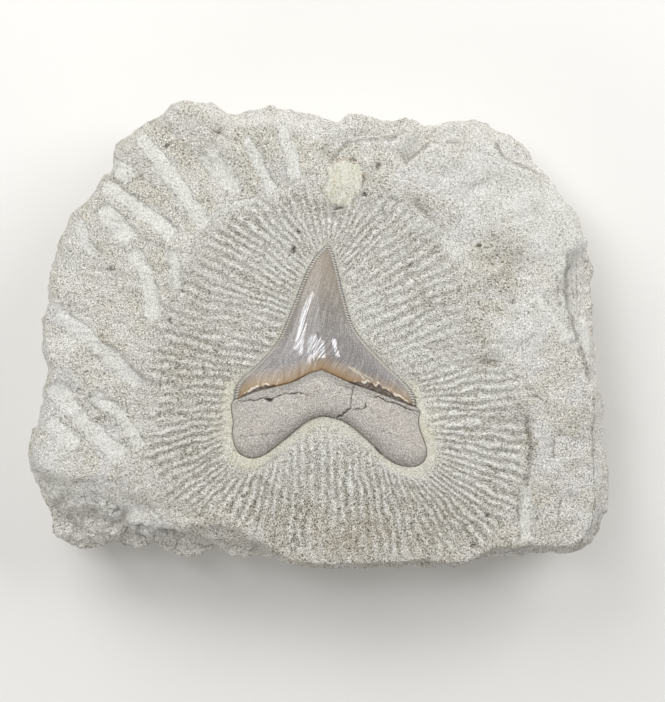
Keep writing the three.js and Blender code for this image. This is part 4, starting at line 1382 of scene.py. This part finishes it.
studio = {  # [place in metres, size, power in watts, colour]
    "window": ((-0.42, 0.62, 0.6), (0.6, 0.6), 5.2, (1.0, 0.99, 0.975)),
    "right": ((0.56, 0.36, 0.48), (0.56, 0.56), 3.95, (0.995, 0.99, 0.985)),
    "front": ((-0.4, -0.62, 0.34), (0.6, 0.5), 1.5, (1.0, 0.985, 0.96)),
    "streak": ((-0.148, 0.105, 0.62), (0.13, 0.26), 0.7, (0.94, 0.96, 1.0)),  # mirrored in the enamel
}
skyColour, skyStrength = (1.0, 0.99, 0.97, 1), 0.3

view = {
    "lens": 95.0,
    "sensor": 36.0,
    "seenHeight": 224.6,  # millimetres of the worked face in view, from top to bottom
    "aim": (4.3, -5.4),
}


def addFloor():
    half = 4 * slabHigh[0]
    corners = np.array([(-half, -half, 0), (half, -half, 0), (half, half, 0), (-half, half, 0)])
    floor = makePiece("floor", corners, [(0, 1, 2, 3)], {})
    floor.data.materials.append(plainFloor())


def addLights():
    target = Vector((0, 0, faceHeight * mm))
    for name, (place, size, power, colour) in studio.items():
        light = bpy.data.lights.new(name, "AREA")
        light.shape = "RECTANGLE"
        light.size, light.size_y = size
        light.energy = power
        light.color = colour
        lamp = placed(name, light)
        lamp.location = place
        lamp.rotation_euler = (target - lamp.location).to_track_quat("-Z", "Y").to_euler()
    world = bpy.data.worlds.new("studio")
    world.use_nodes = True
    sky = world.node_tree.nodes["Background"].inputs
    sky["Color"].default_value = skyColour
    sky["Strength"].default_value = skyStrength
    bpy.context.scene.world = world
    bpy.context.scene.view_settings.view_transform = "Standard"


def addCamera():
    # straight above the stone, looking down
    camera = bpy.data.cameras.new("camera")
    camera.lens, camera.sensor_width = view["lens"], view["sensor"]
    camera.clip_start = 0.01
    away = view["seenHeight"] * view["lens"] / view["sensor"]
    eye = placed("camera", camera)
    eye.location = Vector((*view["aim"], faceHeight + away)) * mm
    bpy.context.scene.camera = eye


# Everything put together.

def keepInside(piece, low, high):
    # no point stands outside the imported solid's box, and what touches the floor lies flat on it
    mesh, spare = piece.data, 0.001 * mm
    places = np.empty(len(mesh.vertices) * 3, np.float32)
    mesh.vertices.foreach_get("co", places)
    places = np.clip(places.reshape(-1, 3), np.array(low) + spare, np.array(high) - spare)
    places[:, 2] = np.where(places[:, 2] < 2 * spare, low[2], places[:, 2])
    mesh.vertices.foreach_set("co", places.ravel())
    mesh.update()


def finishPiece(piece, node):
    keepInside(piece, *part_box(node))
    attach(piece, "root")
    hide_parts(node)
    triangles = sum(len(face.vertices) - 2 for face in piece.data.polygons)
    print(piece.name, "has", triangles, "triangles")


enamel, root = enamelFinish(), rootFinish()
tooth = makeTooth(enamel, root)
joinInto(tooth, makeSerrations(enamel))
print("tooth: made")
stone = makeStone(stoneFinish())
print("stone: made")
finishPiece(tooth, "shark_tooth")
finishPiece(stone, "stone_slab")
addFloor()
addLights()
addCamera()
